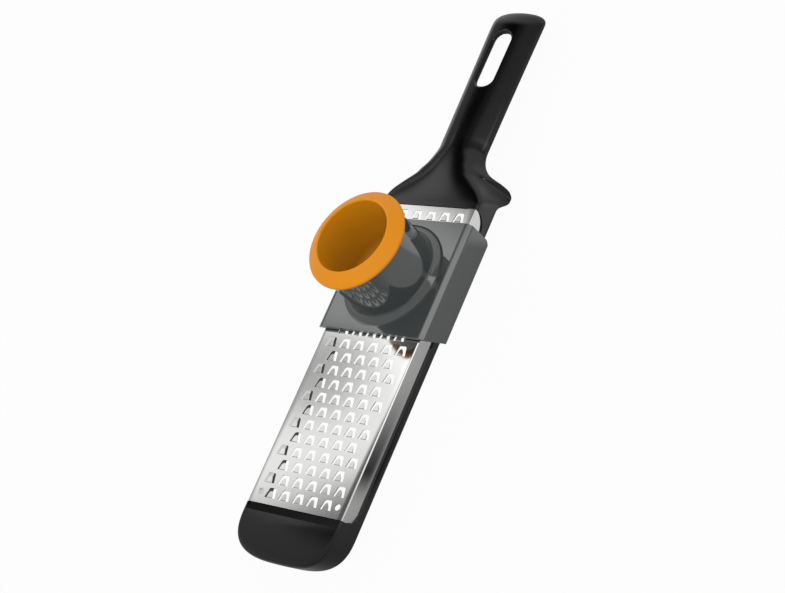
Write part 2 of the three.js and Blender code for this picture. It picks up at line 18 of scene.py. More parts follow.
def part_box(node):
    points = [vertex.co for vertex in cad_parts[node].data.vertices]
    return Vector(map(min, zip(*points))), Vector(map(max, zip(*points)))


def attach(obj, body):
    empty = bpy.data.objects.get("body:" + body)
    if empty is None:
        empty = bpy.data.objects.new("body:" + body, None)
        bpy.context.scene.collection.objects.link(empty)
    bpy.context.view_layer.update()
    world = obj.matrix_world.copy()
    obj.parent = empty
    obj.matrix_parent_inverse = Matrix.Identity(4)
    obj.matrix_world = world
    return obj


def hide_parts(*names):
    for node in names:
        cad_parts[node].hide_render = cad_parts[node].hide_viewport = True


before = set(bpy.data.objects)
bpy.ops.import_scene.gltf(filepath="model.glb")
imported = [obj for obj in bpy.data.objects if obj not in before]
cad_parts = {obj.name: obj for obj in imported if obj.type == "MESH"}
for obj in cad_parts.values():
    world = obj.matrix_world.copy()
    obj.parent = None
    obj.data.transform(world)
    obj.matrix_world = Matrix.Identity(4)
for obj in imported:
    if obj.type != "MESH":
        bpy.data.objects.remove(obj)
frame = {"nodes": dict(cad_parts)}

LOG = logging.getLogger("grater")
MM = 0.001  # metres in a millimetre
WELD = 0.004  # points closer than this, in millimetres, are one point
FIT = 0.3  # gap between pieces that stay put
SLIDE = 0.4  # gap between pieces that slide
TINY = 1e-9  # keeps a division away from zero
WHITE = (1.0, 1.0, 1.0, 1.0)
Array = np.ndarray


class Cut(Enum):
    """How a second solid changes a first one."""

    JOIN = "UNION"
    REMOVE = "DIFFERENCE"
    KEEP = "INTERSECT"


class Body(Enum):
    """Bodies that the pieces ride on."""

    GRATER = "grater"
    HOLDER = "holder"
    PLUNGER = "plunger"


def lerp(start: Array, end: Array, share: Array) -> Array:
    """Value at a share of the way from start to end."""
    return start + (end - start) * share


def smoothstep(value: Array, start: float, end: float) -> Array:
    """Rises from 0 at start to 1 at end as 3 t^2 - 2 t^3."""
    share = np.clip((value - start) / (end - start), 0.0, 1.0)
    return share * share * (3.0 - 2.0 * share)


def turned(angle: Array) -> Array:
    """Unit points in the directions of the angles."""
    return np.column_stack([np.cos(angle), np.sin(angle)])


def arc(centre: tuple[float, float], radius: float, start: float, end: float, steps: int) -> Array:
    """Points of a circle's arc.

    Args:
        centre: Middle of the circle in its own two axes.
        radius: Radius of the circle.
        start: First angle in degrees.
        end: Last angle in degrees.
        steps: Equal steps between the two angles.

    Returns:
        Array of steps + 1 points with two coordinates.
    """
    return np.asarray(centre) + radius * turned(np.radians(np.linspace(start, end, steps + 1)))


def path(*stretches: Array | list) -> Array:
    """Joins stretches of two-coordinate points into one path."""
    return np.vstack([np.atleast_2d(np.asarray(stretch, float)) for stretch in stretches])


def lattice(x: Array | list, y: Array | list, z: Array | list) -> Array:
    """Grid of points over x and one of the other two axes, where the last has a single place."""
    return np.stack(np.meshgrid(x, y, z, indexing="ij"), axis=-1).reshape(len(x), -1, 3)


def lathe(profile: Array, angle: Array, axis: tuple[float, float] = (0.0, 0.0)) -> Array:
    """Rings of a profile turned about an upright axis: x = r cos a, y = r sin a, and z as in the profile.

    Args:
        profile: Radius and height of each ring.
        angle: Directions of the points of a ring.
        axis: Where the axis stands, in x and y.

    Returns:
        Array of rings by points by 3.
    """
    radius, z = profile[:, :1], profile[:, 1:]
    x, y = axis[0] + radius * np.cos(angle), axis[1] + radius * np.sin(angle)
    return np.stack(np.broadcast_arrays(x, y, z), axis=-1)


@dataclass(frozen=True)
class Datum:
    """Place of the drawing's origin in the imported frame, read off the blade.

    Attributes:
        y: Where the bare steel starts, in metres.
        z: Height of the blade's face, in metres.
    """

    y: float
    z: float

    def place(self, points: Array) -> Array:
        """Turns drawing points in millimetres into packed points in metres."""
        return points * MM + np.array([0.0, self.y, self.z])


class Skin:
    """Patches of a surface that are welded into one mesh."""

    def __init__(self) -> None:
        """Starts with no patches."""
        self.points: list[Array] = []
        self.faces: list[list[int]] = []
        self.count = 0

    def grid(self, points: Array, close: bool = False) -> "Skin":
        """Adds a grid of quads.

        Args:
            points: Array of rows by columns by 3.
            close: Whether the last column joins the first.

        Returns:
            This skin.
        """
        rows, columns = points.shape[:2]
        index = self.count + np.arange(rows * columns).reshape(rows, columns)
        if close:
            index = np.hstack([index, index[:, :1]])
        quads = np.stack([index[:-1, :-1], index[:-1, 1:], index[1:, 1:], index[1:, :-1]], axis=-1)
        self.faces.extend(quads.reshape(-1, 4).tolist())
        self.points.append(points.reshape(-1, 3))
        self.count += rows * columns
        return self

    def polygon(self, points: Array) -> "Skin":
        """Adds one flat face with many corners.

        Args:
            points: Its corners in order.

        Returns:
            This skin.
        """
        self.faces.append(list(range(self.count, self.count + len(points))))
        self.points.append(points)
        self.count += len(points)
        return self

    def loft(self, rings: Array) -> "Skin":
        """Adds closed rings with flat ends, as a closed solid."""
        return self.grid(rings, close=True).polygon(rings[0][::-1]).polygon(rings[-1])

    def mesh(self, name: str, datum: Datum) -> bpy.types.Mesh:
        """Welds the patches and turns their faces outwards.

        Args:
            name: Name of the mesh.
            datum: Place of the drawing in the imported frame.

        Returns:
            The welded mesh in metres.
        """
        mesh = bpy.data.meshes.new(name)
        mesh.from_pydata(datum.place(np.vstack(self.points)).tolist(), [], self.faces)
        work = bmesh.new()
        work.from_mesh(mesh)
        bmesh.ops.remove_doubles(work, verts=work.verts, dist=WELD * MM)
        bmesh.ops.dissolve_degenerate(work, edges=work.edges, dist=WELD * MM)
        bmesh.ops.recalc_face_normals(work, faces=work.faces)
        work.to_mesh(mesh)
        work.free()
        return mesh


def combine(first: bpy.types.Mesh, second: bpy.types.Mesh, how: Cut) -> bpy.types.Mesh:
    """Joins or cuts two solids and returns the new mesh.

    Args:
        first: Solid that is changed.
        second: Solid that changes it.
        how: The change.

    Returns:
        A new mesh; the two given ones are removed.
    """
    base, tool = (bpy.data.objects.new(mesh.name, mesh) for mesh in (first, second))
    for item in (base, tool):
        bpy.context.scene.collection.objects.link(item)
    modifier = base.modifiers.new("cut", "BOOLEAN")
    modifier.operation = how.value
    modifier.solver = "MANIFOLD"
    modifier.object = tool
    graph = bpy.context.evaluated_depsgraph_get()
    result = bpy.data.meshes.new_from_object(base.evaluated_get(graph))
    result.name = first.name
    for item in (base, tool):
        bpy.data.objects.remove(item)
    for mesh in (first, second):
        bpy.data.meshes.remove(mesh)
    return result


def block(low: tuple[float, float, float], high: tuple[float, float, float], datum: Datum) -> bpy.types.Mesh:
    """Box between two corners.

    Args:
        low: The corner with the least coordinates.
        high: The opposite corner.
        datum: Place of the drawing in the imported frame.

    Returns:
        Closed mesh in metres.
    """
    (x0, y0, z0), (x1, y1, z1) = low, high
    base = np.array([[x0, y0], [x1, y0], [x1, y1], [x0, y1]])
    return prism(base, z0, z1, 2, datum)


def prism(outline: Array, low: float, high: float, axis: int, datum: Datum) -> bpy.types.Mesh:
    """Straight solid over a flat outline.

    Args:
        outline: Points in the two axes that follow the drawn one: y, z for x; x, z for y; x, y for z.
        low: Where it starts along its axis.
        high: Where it ends along its axis.
        axis: 0, 1 or 2 for x, y or z.
        datum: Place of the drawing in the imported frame.

    Returns:
        Closed mesh.
    """
    rings = np.stack([np.insert(outline, axis, level, axis=1) for level in (low, high)])
    return Skin().loft(rings).mesh("prism", datum)


def rounded_slot(half: float, low: float, high: float, corner: float, grow: Array, steps: int) -> Array:
    """Outline of a slot with round corners, grown outwards.

    Args:
        half: Half of its width.
        low: Lower end along y.
        high: Upper end along y.
        corner: Radius of its corners.
        grow: How far each copy of the outline is moved out, as an array.
        steps: Steps in each corner.

    Returns:
        Array of copies by points by 2.
    """
    turns = np.concatenate([np.radians(np.linspace(0, 90, steps + 1) + start) for start in (0, 90, 180, 270)])
    reach, rise = half - corner, (high - low) / 2 - corner
    middle_x = np.repeat([reach, -reach, -reach, reach], steps + 1)
    middle_y = (low + high) / 2 + np.repeat([rise, rise, -rise, -rise], steps + 1)
    radius = corner + np.asarray(grow, float)[:, None]
    return np.stack([middle_x + radius * np.cos(turns), middle_y + radius * np.sin(turns)], axis=-1)


def linear(colour: str) -> tuple[float, float, float, float]:
    """Turns an sRGB hex colour such as #8a8a8a into linear values with full alpha.

    Args:
        colour: The colour in hex.

    Returns:
        Red, green, blue and alpha.
    """
    share = np.array([int(colour[i : i + 2], 16) for i in (1, 3, 5)]) / 255
    value = np.where(share <= 0.04045, share / 12.92, ((share + 0.055) / 1.055) ** 2.4)
    return (*value.tolist(), 1.0)


def per_metre(millimetres: float) -> float:
    """Scale of a noise whose features are this many millimetres, on coordinates in metres."""
    return 1.0 / (millimetres * MM)


def add_node(tree: bpy.types.NodeTree, kind: str, settings: dict | None = None, **inputs) -> bpy.types.Node:
    """Adds a node with its settings, values and links.

    Args:
        tree: Node tree that the node joins.
        kind: Blender's name of the node type.
        settings: Attributes of the node.
        **inputs: Values or output sockets by input name, with _ for a space; a name may also be i0, i1 and so on.

    Returns:
        The new node.
    """
    node = tree.nodes.new(kind)
    for name, value in (settings or {}).items():
        setattr(node, name, value)
    for name, value in inputs.items():
        numbered = name[0] == "i" and name[1:].isdigit()
        socket = node.inputs[int(name[1:]) if numbered else name.replace("_", " ")]
        if isinstance(value, bpy.types.NodeSocket):
            tree.links.new(value, socket)
        else:
            socket.default_value = value
    return node


def maths(tree: bpy.types.NodeTree, operation: str, *values: bpy.types.NodeSocket | float) -> bpy.types.NodeSocket:
    """Adds a math node on sockets or numbers and returns the socket of its result."""
    inputs = {f"i{place}": value for place, value in enumerate(values)}
    return add_node(tree, "ShaderNodeMath", {"operation": operation}, **inputs).outputs[0]


def blank_material(name: str) -> bpy.types.Material:
    """Makes a node material that has no nodes yet.

    Args:
        name: Name of the material.

    Returns:
        The new material.
    """
    material = bpy.data.materials.new(name)
    material.use_nodes = True
    material.node_tree.nodes.clear()
    return material


@dataclass(frozen=True)
class Finish:
    """A finish of two close colours, with a roughness that varies with them and a fine relief.

    Attributes:
        name: Common name of the material and how it was made.
        colour: sRGB hex colour.
        shade: sRGB hex colour of its slightly darker marks.
        roughness: Roughness in the middle of its spread.
        spread: How much the roughness varies.
        relief: Depth of the relief, in millimetres.
    """

    name: str
    colour: str
    shade: str
    roughness: float
    spread: float
    relief: float

    def dress(
        self, material: bpy.types.Material, marks: bpy.types.NodeSocket, grain: bpy.types.NodeSocket,
        thrown: str | None = None, **gloss: float,
    ) -> bpy.types.Material:
        """Adds the surface to a material that has the patterns.

        Args:
            material: Material that the nodes join.
            marks: Pattern that mixes the two colours and varies the roughness.
            grain: Pattern of the relief.
            thrown: sRGB hex colour of the light that it throws back on itself, where that differs from its own.
            **gloss: Further values of the surface by name, with _ for a space.

        Returns:
            The material.
        """
        tree = material.node_tree
        blend = {"data_type": "RGBA"}
        colour = add_node(tree, "ShaderNodeMix", blend, i0=marks, i6=linear(self.shade), i7=linear(self.colour))
        if thrown:
            bounce = add_node(tree, "ShaderNodeLightPath").outputs["Is Diffuse Ray"]
            colour = add_node(tree, "ShaderNodeMix", blend, i0=bounce, i6=colour.outputs[2], i7=linear(thrown))
        rough = add_node(
            tree, "ShaderNodeMapRange", Value=marks,
            To_Min=self.roughness - self.spread, To_Max=self.roughness + self.spread,
        )
        bump = add_node(tree, "ShaderNodeBump", Height=grain, Distance=self.relief * MM, Strength=1.0)
        surface = add_node(
            tree, "ShaderNodeBsdfPrincipled", Base_Color=colour.outputs[2], Roughness=rough.outputs["Result"],
            Normal=bump.outputs["Normal"], **gloss,
        )
        add_node(tree, "ShaderNodeOutputMaterial", Surface=surface.outputs["BSDF"])
        return material


@dataclass(frozen=True)
class Moulding(Finish):
    """A moulded plastic or rubber, with faint flow marks and the fine texture left by the mould.

    Attributes:
        ior: Index of refraction.
        flow: Size of the flow marks, in millimetres.
        grain: Size of the mould texture, in millimetres.
        specular: Level of the gloss, where 0.5 is that of the index alone.
        thrown: sRGB hex colour of the light that it throws back on itself, where that differs from its own.
    """

    ior: float
    flow: float
    grain: float
    specular: float = 0.5
    thrown: str | None = None

    def material(self) -> bpy.types.Material:
        """Builds the material, with one noise for the flow marks and a finer one for the mould texture.

        Returns:
            The new material.
        """
        material = blank_material(self.name)
        tree = material.node_tree
        place = add_node(tree, "ShaderNodeTexCoord").outputs["Object"]
        flow, grain = (
            add_node(tree, "ShaderNodeTexNoise", Vector=place, Scale=per_metre(size), Detail=detail).outputs["Fac"]
            for size, detail in ((self.flow, 3.0), (self.grain, 2.0))
        )
        return self.dress(material, flow, grain, self.thrown, IOR=self.ior, Specular_IOR_Level=self.specular)


@dataclass(frozen=True)
class RolledSheet(Finish):
    """Cold-rolled stainless sheet with a satin finish: a metal mirror blurred by fine lines along its length.

    Attributes:
        line: Width of a rolling line, in millimetres; drawn coarser than real so that it shows.
        run: Length of a rolling line, in millimetres.
    """

    line: float
    run: float

    def material(self) -> bpy.types.Material:
        """Builds the material, with one noise that is stretched along the tool.

        Returns:
            The new material.
        """
        material = blank_material(self.name)
        tree = material.node_tree
        place = add_node(tree, "ShaderNodeTexCoord").outputs["Object"]
        across = per_metre(self.line)
        stretched = add_node(tree, "ShaderNodeMapping", Vector=place, Scale=(across, per_metre(self.run), across))
        lines = add_node(
            tree, "ShaderNodeTexNoise", Vector=stretched.outputs["Vector"], Scale=1.0, Detail=3.0
        ).outputs["Fac"]
        return self.dress(material, lines, lines, Metallic=1.0)


# Glass-filled nylon, injection moulded with a fine satin texture: nearly black, with soft wide highlights.
BLACK_NYLON = Moulding(
    "glass_filled_nylon", "#060607", "#040405", roughness=0.12, spread=0.02, relief=0.002,
    ior=1.5, flow=9.0, grain=0.7,
)
# Stainless sheet, cold rolled and satin finished: bright, with a slight streak along the tool.
SATIN_STEEL = RolledSheet(
    "satin_stainless_sheet", "#cdcdcc", "#c6c6c5", roughness=0.1, spread=0.015, relief=0.0005, line=0.5, run=14.0,
)
# Thermoplastic rubber: dull and slightly grainy.
SOFT_RUBBER = Moulding(
    "thermoplastic_rubber", "#1d1d1f", "#171719", roughness=0.78, spread=0.06, relief=0.02,
    ior=1.5, flow=6.0, grain=0.5,
)
# ABS moulded in a polished tool: an even smoke grey with clear reflections.
GREY_ABS = Moulding(
    "polished_grey_abs", "#404444", "#3d4141", roughness=0.07, spread=0.02, relief=0.001,
    ior=1.93, flow=12.0, grain=2.5,
)
# Polypropylene, moulded smooth: a warm orange; its thrown light is kept neutral, so that the deep cup stays brown.
ORANGE_POLYPROPYLENE = Moulding(
    "smooth_orange_polypropylene", "#ee960c", "#e88f08", roughness=0.38, spread=0.03, relief=0.002,
    ior=1.49, flow=10.0, grain=1.2, specular=0.25, thrown="#a8a8a8",
)


def finish_piece(
    name: str, mesh: bpy.types.Mesh, body: Body, node: str,
    finish: Moulding | RolledSheet, sharp: float = 32.0,
) -> bpy.types.Object:
    """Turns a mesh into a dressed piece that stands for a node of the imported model.

    Args:
        name: Name of the piece.
        mesh: Closed mesh in metres.
        body: Body that the piece rides on.
        node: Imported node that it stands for.
        finish: The piece's finish.
        sharp: Edges bent by more than this many degrees stay crisp.

    Returns:
        The new object.
    """
    mesh.name = name
    mesh.shade_smooth()
    mesh.set_sharp_from_angle(angle=math.radians(sharp))
    mesh.materials.clear()
    mesh.materials.append(finish.material())
    piece = bpy.data.objects.new(name, mesh)
    bpy.context.scene.collection.objects.link(piece)
    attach(piece, body.value)
    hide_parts(node)
    LOG.info("%s: %d faces, rides on %s, %s", name, len(mesh.polygons), body.value, finish.name)
    return piece


@dataclass(frozen=True)
class Blade:
    """Folded steel sheet with rows of arched slits, each round a raised tongue."""

    width: float = 61.2
    length: float = 169.2
    sheet: float = 0.4
    fold_inside: float = 0.3
    flange_depth: float = 8.9
    flange_straight: float = 0.7
    tab_margin: float = 5.6
    tab_depth: float = 4.0
    row_pitch: float = 7.5
    tooth_pitch: float = 9.0
    first_row: float = 6.2
    rows: int = 22
    wide_row: int = 6
    tooth_height: float = 5.2
    tooth_base: float = 6.8
    arch_flat: float = 1.3  # half of the straight top of an arch
    arch_drop: float = 1.4  # height of its round shoulders
    arch_hip: float = 2.5  # half width where the shoulders start
    slit: float = 1.7
    tongue_tip: float = 1.6
    tongue_rise: float = 0.3
    tongue_bend: float = 0.08  # share of a tongue's length that is bent up
    tongue_taper: float = 1.5  # power by which a tongue narrows
    tongue_round: float = 0.1575  # share of its length by which its corners fall back
    bend_rows: tuple[float, ...] = (0.0, 0.5, 1.0, 1.25)  # rows of points along the bend
    tongue_rows: tuple[float, ...] = (0.5, 0.8, 1.0)  # and along the rest of the tongue
    pin_hole: float = 3.3
    side_steps: int = 8  # steps along each side of a tooth's cell
    fold_steps: int = 8
    flange_steps: int = 12
    tab_steps: int = 3

    @property
    def half(self) -> float:
        """Half of the width over the flanges."""
        return self.width / 2

    @property
    def fold(self) -> float:
        """Outside radius of the folds."""
        return self.fold_inside + self.sheet

    @property
    def tab_half(self) -> float:
        """Half of the width of the folded tabs."""
        return self.half - self.tab_margin

    def cell_border(self, width: float) -> Array:
        """Corners and steps round a rectangle one row high, from its lower left corner, anticlockwise.

        Args:
            width: Width of the rectangle.

        Returns:
            Array of points with two coordinates.
        """
        share = np.arange(self.side_steps) / self.side_steps
        x, y = width / 2, self.row_pitch / 2
        ahead, level = lerp(-1.0, 1.0, share), np.ones(self.side_steps)
        return path(
            np.column_stack([x * ahead, -y * level]),
            np.column_stack([x * level, y * ahead]),
            np.column_stack([-x * ahead, y * level]),
            np.column_stack([-x * level, -y * ahead]),
        )

    def arch(self) -> Array:
        """Outline of a slit and its tongue together, point for point with the cell's border.

        The base is straight, the legs lean in to the hips, and a quarter ellipse on each side carries them over
        to the flat top.

        Returns:
            Array of points with two coordinates.
        """
        n = self.side_steps
        low, top = -self.tooth_height / 2, self.tooth_height / 2
        base, hip_z = self.tooth_base / 2, top - self.arch_drop
        share = np.arange(n) / n
        foot = np.column_stack([lerp(-base, base, share), np.full(n, low)])
        legs = n // 2
        leg = lerp(np.array([base, low]), np.array([self.arch_hip, hip_z]), share[:legs, None] * 2)
        turn = turned(np.radians(np.linspace(0, 90, legs + 2)))
        shoulder = [self.arch_flat, hip_z] + turn * [self.arch_hip - self.arch_flat, self.arch_drop]
        spare = n + legs + 1 - len(leg) - len(shoulder)
        flat = np.column_stack([np.linspace(self.arch_flat, 0.0, spare + 1), np.full(spare + 1, top)])[1:]
        right = path(leg, shoulder, flat)
        left = right[1:-1][::-1] * [-1.0, 1.0]
        return path(foot, right, left)

    def tooth(self) -> list[Array]:
        """Patches of one tooth's cell about its middle: the sheet round the arch, and the tongue.

        The tongue is a grid that narrows from its root to its tip; a short bend at its root lifts the rest.

        Returns:
            The two patches, as grids of points.
        """
        border = self.cell_border(self.tooth_pitch)
        rim = self.arch()
        around = np.stack([path(outline, outline[:1]) for outline in (rim, border)])
        around = np.dstack([around, np.zeros(around.shape[:2])])
        root = self.side_steps // 2
        u = np.linspace(-1.0, 1.0, root + 1)[None, :]
        v = np.concatenate([np.array(self.bend_rows) * self.tongue_bend, self.tongue_rows])[:, None]
        reach = self.tooth_height - self.slit
        root_half, tip_half = self.tooth_base / 4, self.tongue_tip / 2
        x = u * lerp(root_half, tip_half, v**self.tongue_taper)
        y = -self.tooth_height / 2 + (v - self.tongue_round * u**4 * v**4) * reach
        z = self.tongue_rise * smoothstep(v, 0.0, self.tongue_bend) * np.ones_like(u)
        return [around, np.stack(np.broadcast_arrays(x, y, z), axis=-1)]

    def pin_cell(self, width: float) -> Array:
        """Flat cell with a round hole, whose rings run from the hole to the border.

        Args:
            width: Width of the cell.

        Returns:
            Array of two rings by points by 3.
        """
        border = self.cell_border(width)
        border = path(border, border[:1])
        angle = np.arctan2(border[:, 1] / self.row_pitch, border[:, 0] / width)
        ring = np.stack([self.pin_hole / 2 * turned(angle), border])
        return np.dstack([ring, np.zeros(ring.shape[:2])])

    def row_lines(self) -> Array:
        """Places along the sheet where the rows' cells and their steps meet."""
        start = self.first_row - self.row_pitch / 2
        return start + self.row_pitch / self.side_steps * np.arange(self.rows * self.side_steps + 1)

    def flange(self, y: Array, side: float) -> Array:
        """Fold and flange of one side: an arc, then a straight drop, with the ends rounded in at depth.

        Args:
            y: Places along the sheet.
            side: 1 for the right side, -1 for the left one.

        Returns:
            Grid of points, from the fold down.
        """
        bend = arc((self.half - self.fold, -self.fold), self.fold, 90, 0, self.fold_steps)
        drop = np.linspace([self.half, -self.fold], [self.half, -self.flange_depth], self.flange_steps + 1)
        section = path(bend, drop[1:])
        corner = self.flange_depth - self.flange_straight
        into = np.clip(-section[:, 1] - self.flange_straight, 0.0, corner)
        inset = corner - np.sqrt(corner**2 - into**2)
        share = (y - y[0]) / (y[-1] - y[0])
        run = lerp((y[0] + inset)[:, None], (y[-1] - inset)[:, None], share[None, :])
        x = side * np.broadcast_to(section[:, :1], run.shape)
        return np.stack([x, run, np.broadcast_to(section[:, 1:], run.shape)], axis=-1)

    def build(self, datum: Datum) -> bpy.types.Mesh:
        """Welds the sheet from its cells, strips, folds and tabs, and gives it its thickness.

        Args:
            datum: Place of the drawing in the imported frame.

        Returns:
            Closed mesh in metres.
        """
        skin = Skin()
        cells = self.wide_row * self.tooth_pitch / 2
        edge = self.half - self.fold
        lines = self.row_lines()
        y = np.concatenate([[FIT], lines, [self.length - FIT]])
        columns = np.linspace(-cells, cells, self.wide_row * self.side_steps + 1)
        for ends in (y[:2], y[-2:]):
            skin.grid(lattice(columns, ends, [0.0]))
        for row in range(self.rows):
            middle = self.first_row + row * self.row_pitch
            teeth = self.wide_row - 1 + row % 2
            for i in range(teeth):
                place = np.array([(i - (teeth - 1) / 2) * self.tooth_pitch, middle, 0.0])
                for patch in self.tooth():
                    skin.grid(patch + place)
            if teeth == self.wide_row:
                continue
            span = lines[row * self.side_steps : (row + 1) * self.side_steps + 1]
            inner = cells - self.tooth_pitch / 2
            for side in (-1.0, 1.0):
                if row == 0:
                    place = np.array([side * (inner + cells) / 2, middle, 0.0])
                    skin.grid(self.pin_cell(self.tooth_pitch / 2) + place)
                    continue
                across = np.linspace(inner, cells, self.side_steps // 2 + 1) * side
                skin.grid(lattice(across, span, [0.0]))
        for side in (-1.0, 1.0):
            skin.grid(lattice([side * cells, side * edge], y, [0.0]))
            skin.grid(self.flange(y, side))
        tab = columns[np.abs(columns) < self.tab_half]
        for end in (y[0], y[-1]):
            skin.grid(lattice(tab, [end], np.linspace(0.0, -self.tab_depth, self.tab_steps + 1)))
        return self.thicken(skin.mesh("blade", datum))

    def thicken(self, sheet: bpy.types.Mesh) -> bpy.types.Mesh:
        """Gives the open sheet its thickness below its face and turns its faces outwards.

        Args:
            sheet: Open mesh, which is removed.

        Returns:
            Closed mesh.
        """
        self.face_up(sheet)
        holder = bpy.data.objects.new("sheet", sheet)
        bpy.context.scene.collection.objects.link(holder)
        wall = holder.modifiers.new("thickness", "SOLIDIFY")
        wall.thickness = self.sheet * MM
        wall.offset = -1.0
        wall.use_even_offset = True
        graph = bpy.context.evaluated_depsgraph_get()
        solid = bpy.data.meshes.new_from_object(holder.evaluated_get(graph))
        bpy.data.objects.remove(holder)
        bpy.data.meshes.remove(sheet)
        return solid

    @staticmethod
    def face_up(sheet: bpy.types.Mesh) -> None:
        """Turns an open sheet so that its large flat faces look up.

        Args:
            sheet: Mesh that is turned.
        """
        normals = np.zeros(len(sheet.polygons) * 3)
        areas = np.zeros(len(sheet.polygons))
        sheet.polygons.foreach_get("normal", normals)
        sheet.polygons.foreach_get("area", areas)
        if (normals.reshape(-1, 3)[:, 2] * areas).sum() < 0:
            sheet.flip_normals()


@dataclass(frozen=True)
class Frame:
    """Black moulding in one piece: toe, rails, shoulder with lugs, and an arched handle that is open at the back."""

    blade: Blade = field(default_factory=Blade)
    rim: float = 0.3
    rail_proud: float = 1.0
    top_proud: float = 0.3
    ledge: float = 4.0
    shell: float = 2.6
    top_shell: float = 2.2
    cross_wall: float = 1.5
    rail_sharpness: float = 12.0
    arch_sharpness: float = math.sqrt(0.5)
    toe_length: float = 26.9
    toe_round: float = 25.0
    toe_power: float = 3.0
    toe_undercut: float = 3.5
    toe_edge: float = 1.2
    nose_edge: float = 6.0  # rounding of the top edge at the nose
    ramp_length: float = 3.7
    ramp_drop: float = 0.8
    ramp_margin: float = 1.6
    stop_depth: float = 1.4
    stop_width: float = 2.0
    stop_length: float = 3.3
    shoulder_start: float = 3.0
    shoulder_end: float = 30.5
    crease_half: float = 11.4
    fade_start: float = 20.0
    fade_end: float = 43.5
    soften_start: float = 12.0
    soften_end: float = 44.0
    sag: float = 2.0  # how far the shoulder's top falls towards its creases
    sag_end: float = 87.0
    lug_start: float = 7.0
    lug_rise: float = 9.7
    lug_flat: float = 2.3
    lug_fall: float = 4.6
    lug_back: float = 2.6
    lug_drop: float = 7.0
    neck: float = 37.5
    grip_length: float = 83.8
    grip_half: float = 15.45
    grip_flare: float = 1.2
    grip_flare_power: float = 1.5
    grip_back: float = 8.6
    grip_crown: float = 0.8
    grip_fall: float = 0.8
    tip_corner: float = 5.5
    tip_edge: float = 5.0
    tip_run: float = 11.0
    slot_length: float = 34.0
    slot_width: float = 11.0
    slot_flat: float = 1.0
    slot_end: float = 15.0
    slot_lip: float = 1.3
    rib: float = 1.6
    rib_count: int = 3
    rib_clear: float = 3.0
    blend: float = 1.0  # reach of the rounding of the lugs
    draft: float = 1.8  # lean of the handle's sides at the neck
    beyond: float = 60.0  # past the end of what a cut opens
    hair: float = 0.05  # reach of joined solids into each other, and the least length of a stretch
    outlet_reach: float = 1.0  # how far the outlet passes the wall under the blade's tab
    slot_flare: float = 1.2  # how far the slot's cutter widens over the lip
    slot_over: float = 0.5  # and how far over it
    slot_steps: int = 14  # steps in each of the slot's corners
    lip_rings: int = 9
    shoulder_rings: int = 82
    grip_rings: int = 41
    tip_rings: int = 25
    leg_points: int = 25  # points on each leg of a section
    leg_power: float = 1.4  # how much closer they lie at the crease
    blend_places: int = 9  # places in the neighbourhood that the lugs' rounding takes the mean of
    nose_steps: int = 96
    edge_rings: int = 13

    @property
    def half(self) -> float:
        """Half of the width over the rails."""
        return self.blade.half + self.rail_proud

    @property
    def top_half(self) -> float:
        """Half of the width at the top edge."""
        return self.blade.half + self.top_proud

    @property
    def rail_bottom(self) -> float:
        """Height of the rails' lower faces."""
        return -(self.blade.flange_depth + FIT + self.ledge)

    @property
    def rest(self) -> float:
        """Height of the surface that the tool lies on."""
        return self.rail_bottom - self.lug_drop

    @property
    def tip(self) -> float:
        """End of the handle along y."""
        return self.blade.length + self.neck + self.grip_length

    @property
    def window(self) -> tuple[float, float]:
        """Half width of the window under the blade, and where it starts along y."""
        return self.blade.half - self.blade.sheet, self.blade.sheet + 2 * FIT + self.cross_wall

    @property
    def nose_angles(self) -> Array:
        """Directions of the points round the nose, as one row."""
        return np.pi * np.linspace(1.0, 2.0, self.nose_steps + 1)[None, :]

    def section(self, y: Array, wall: float = 0.0, top_wall: float = 0.0) -> dict[str, Array]:
        """Sizes of the moulding's section.

        Along the tool they go from one value to the next by smooth steps, twice smoothed for the crease's weight; the
        hollow behind the lugs and the roundings of the tip are quarter ellipses.

        Args:
            y: Places along the tool.
            wall: How far the sides are drawn in.
            top_wall: How far the crown is drawn in.

        Returns:
            Half widths at the back edge and the crease, heights of the crown and the back edge, the weight of the
            crease and the fall of the top towards it, all as arrays like y.
        """
        s = y - self.blade.length
        lug_end = self.lug_start + self.lug_rise + self.lug_flat
        lug_back = lug_end + self.lug_back
        along = np.clip((s - self.neck) / self.grip_length, 0.0, 1.0)
        hollowed = np.clip((self.neck - s) / (self.neck - lug_back), 0.0, 1.0)
        grip = self.grip_half + self.grip_flare * along**self.grip_flare_power
        back = lerp(grip, self.half, 1.0 - np.sqrt(1.0 - hollowed**2))
        crease = lerp(self.top_half, self.crease_half, smoothstep(s, self.shoulder_start, self.shoulder_end))
        lug = lerp(self.rail_bottom, self.rest, smoothstep(s, self.lug_start, self.lug_start + self.lug_rise))

        def rounding(length: float) -> Array:
            """How far a quarter ellipse of this length at the tip has turned by y, from 0 to 1."""
            past = np.maximum(0.0, y - (self.tip - wall - length))
            return 1.0 - np.sqrt(np.maximum(0.0, 1.0 - (past / length) ** 2))

        narrowing = wall + self.tip_corner * rounding(self.tip_corner)
        rise = smoothstep(s, self.shoulder_start, self.neck) * (self.grip_crown - self.rim)
        softness = smoothstep(smoothstep(s, self.soften_start, self.soften_end), 0.0, 1.0)
        sag = self.sag * smoothstep(s, self.shoulder_start, self.shoulder_end)
        draft = self.draft * np.clip((self.tip - y) / (self.neck + self.grip_length - self.fade_start), 0.0, 1.0)
        return {
            "back": back - narrowing,
            "crease": lerp(crease, back - draft, smoothstep(s, self.fade_start, self.fade_end)) - narrowing,
            "crown": self.rim + rise - self.grip_fall * along**2 - top_wall - self.tip_edge * rounding(self.tip_run),
            "edge": lerp(lug, -self.grip_back, smoothstep(s, lug_end, lug_end + self.lug_fall)),
            "sharpness": self.rail_sharpness * (self.arch_sharpness / self.rail_sharpness) ** softness,
            "sag": sag * (1.0 - smoothstep(s, self.shoulder_end, self.sag_end)),
        }

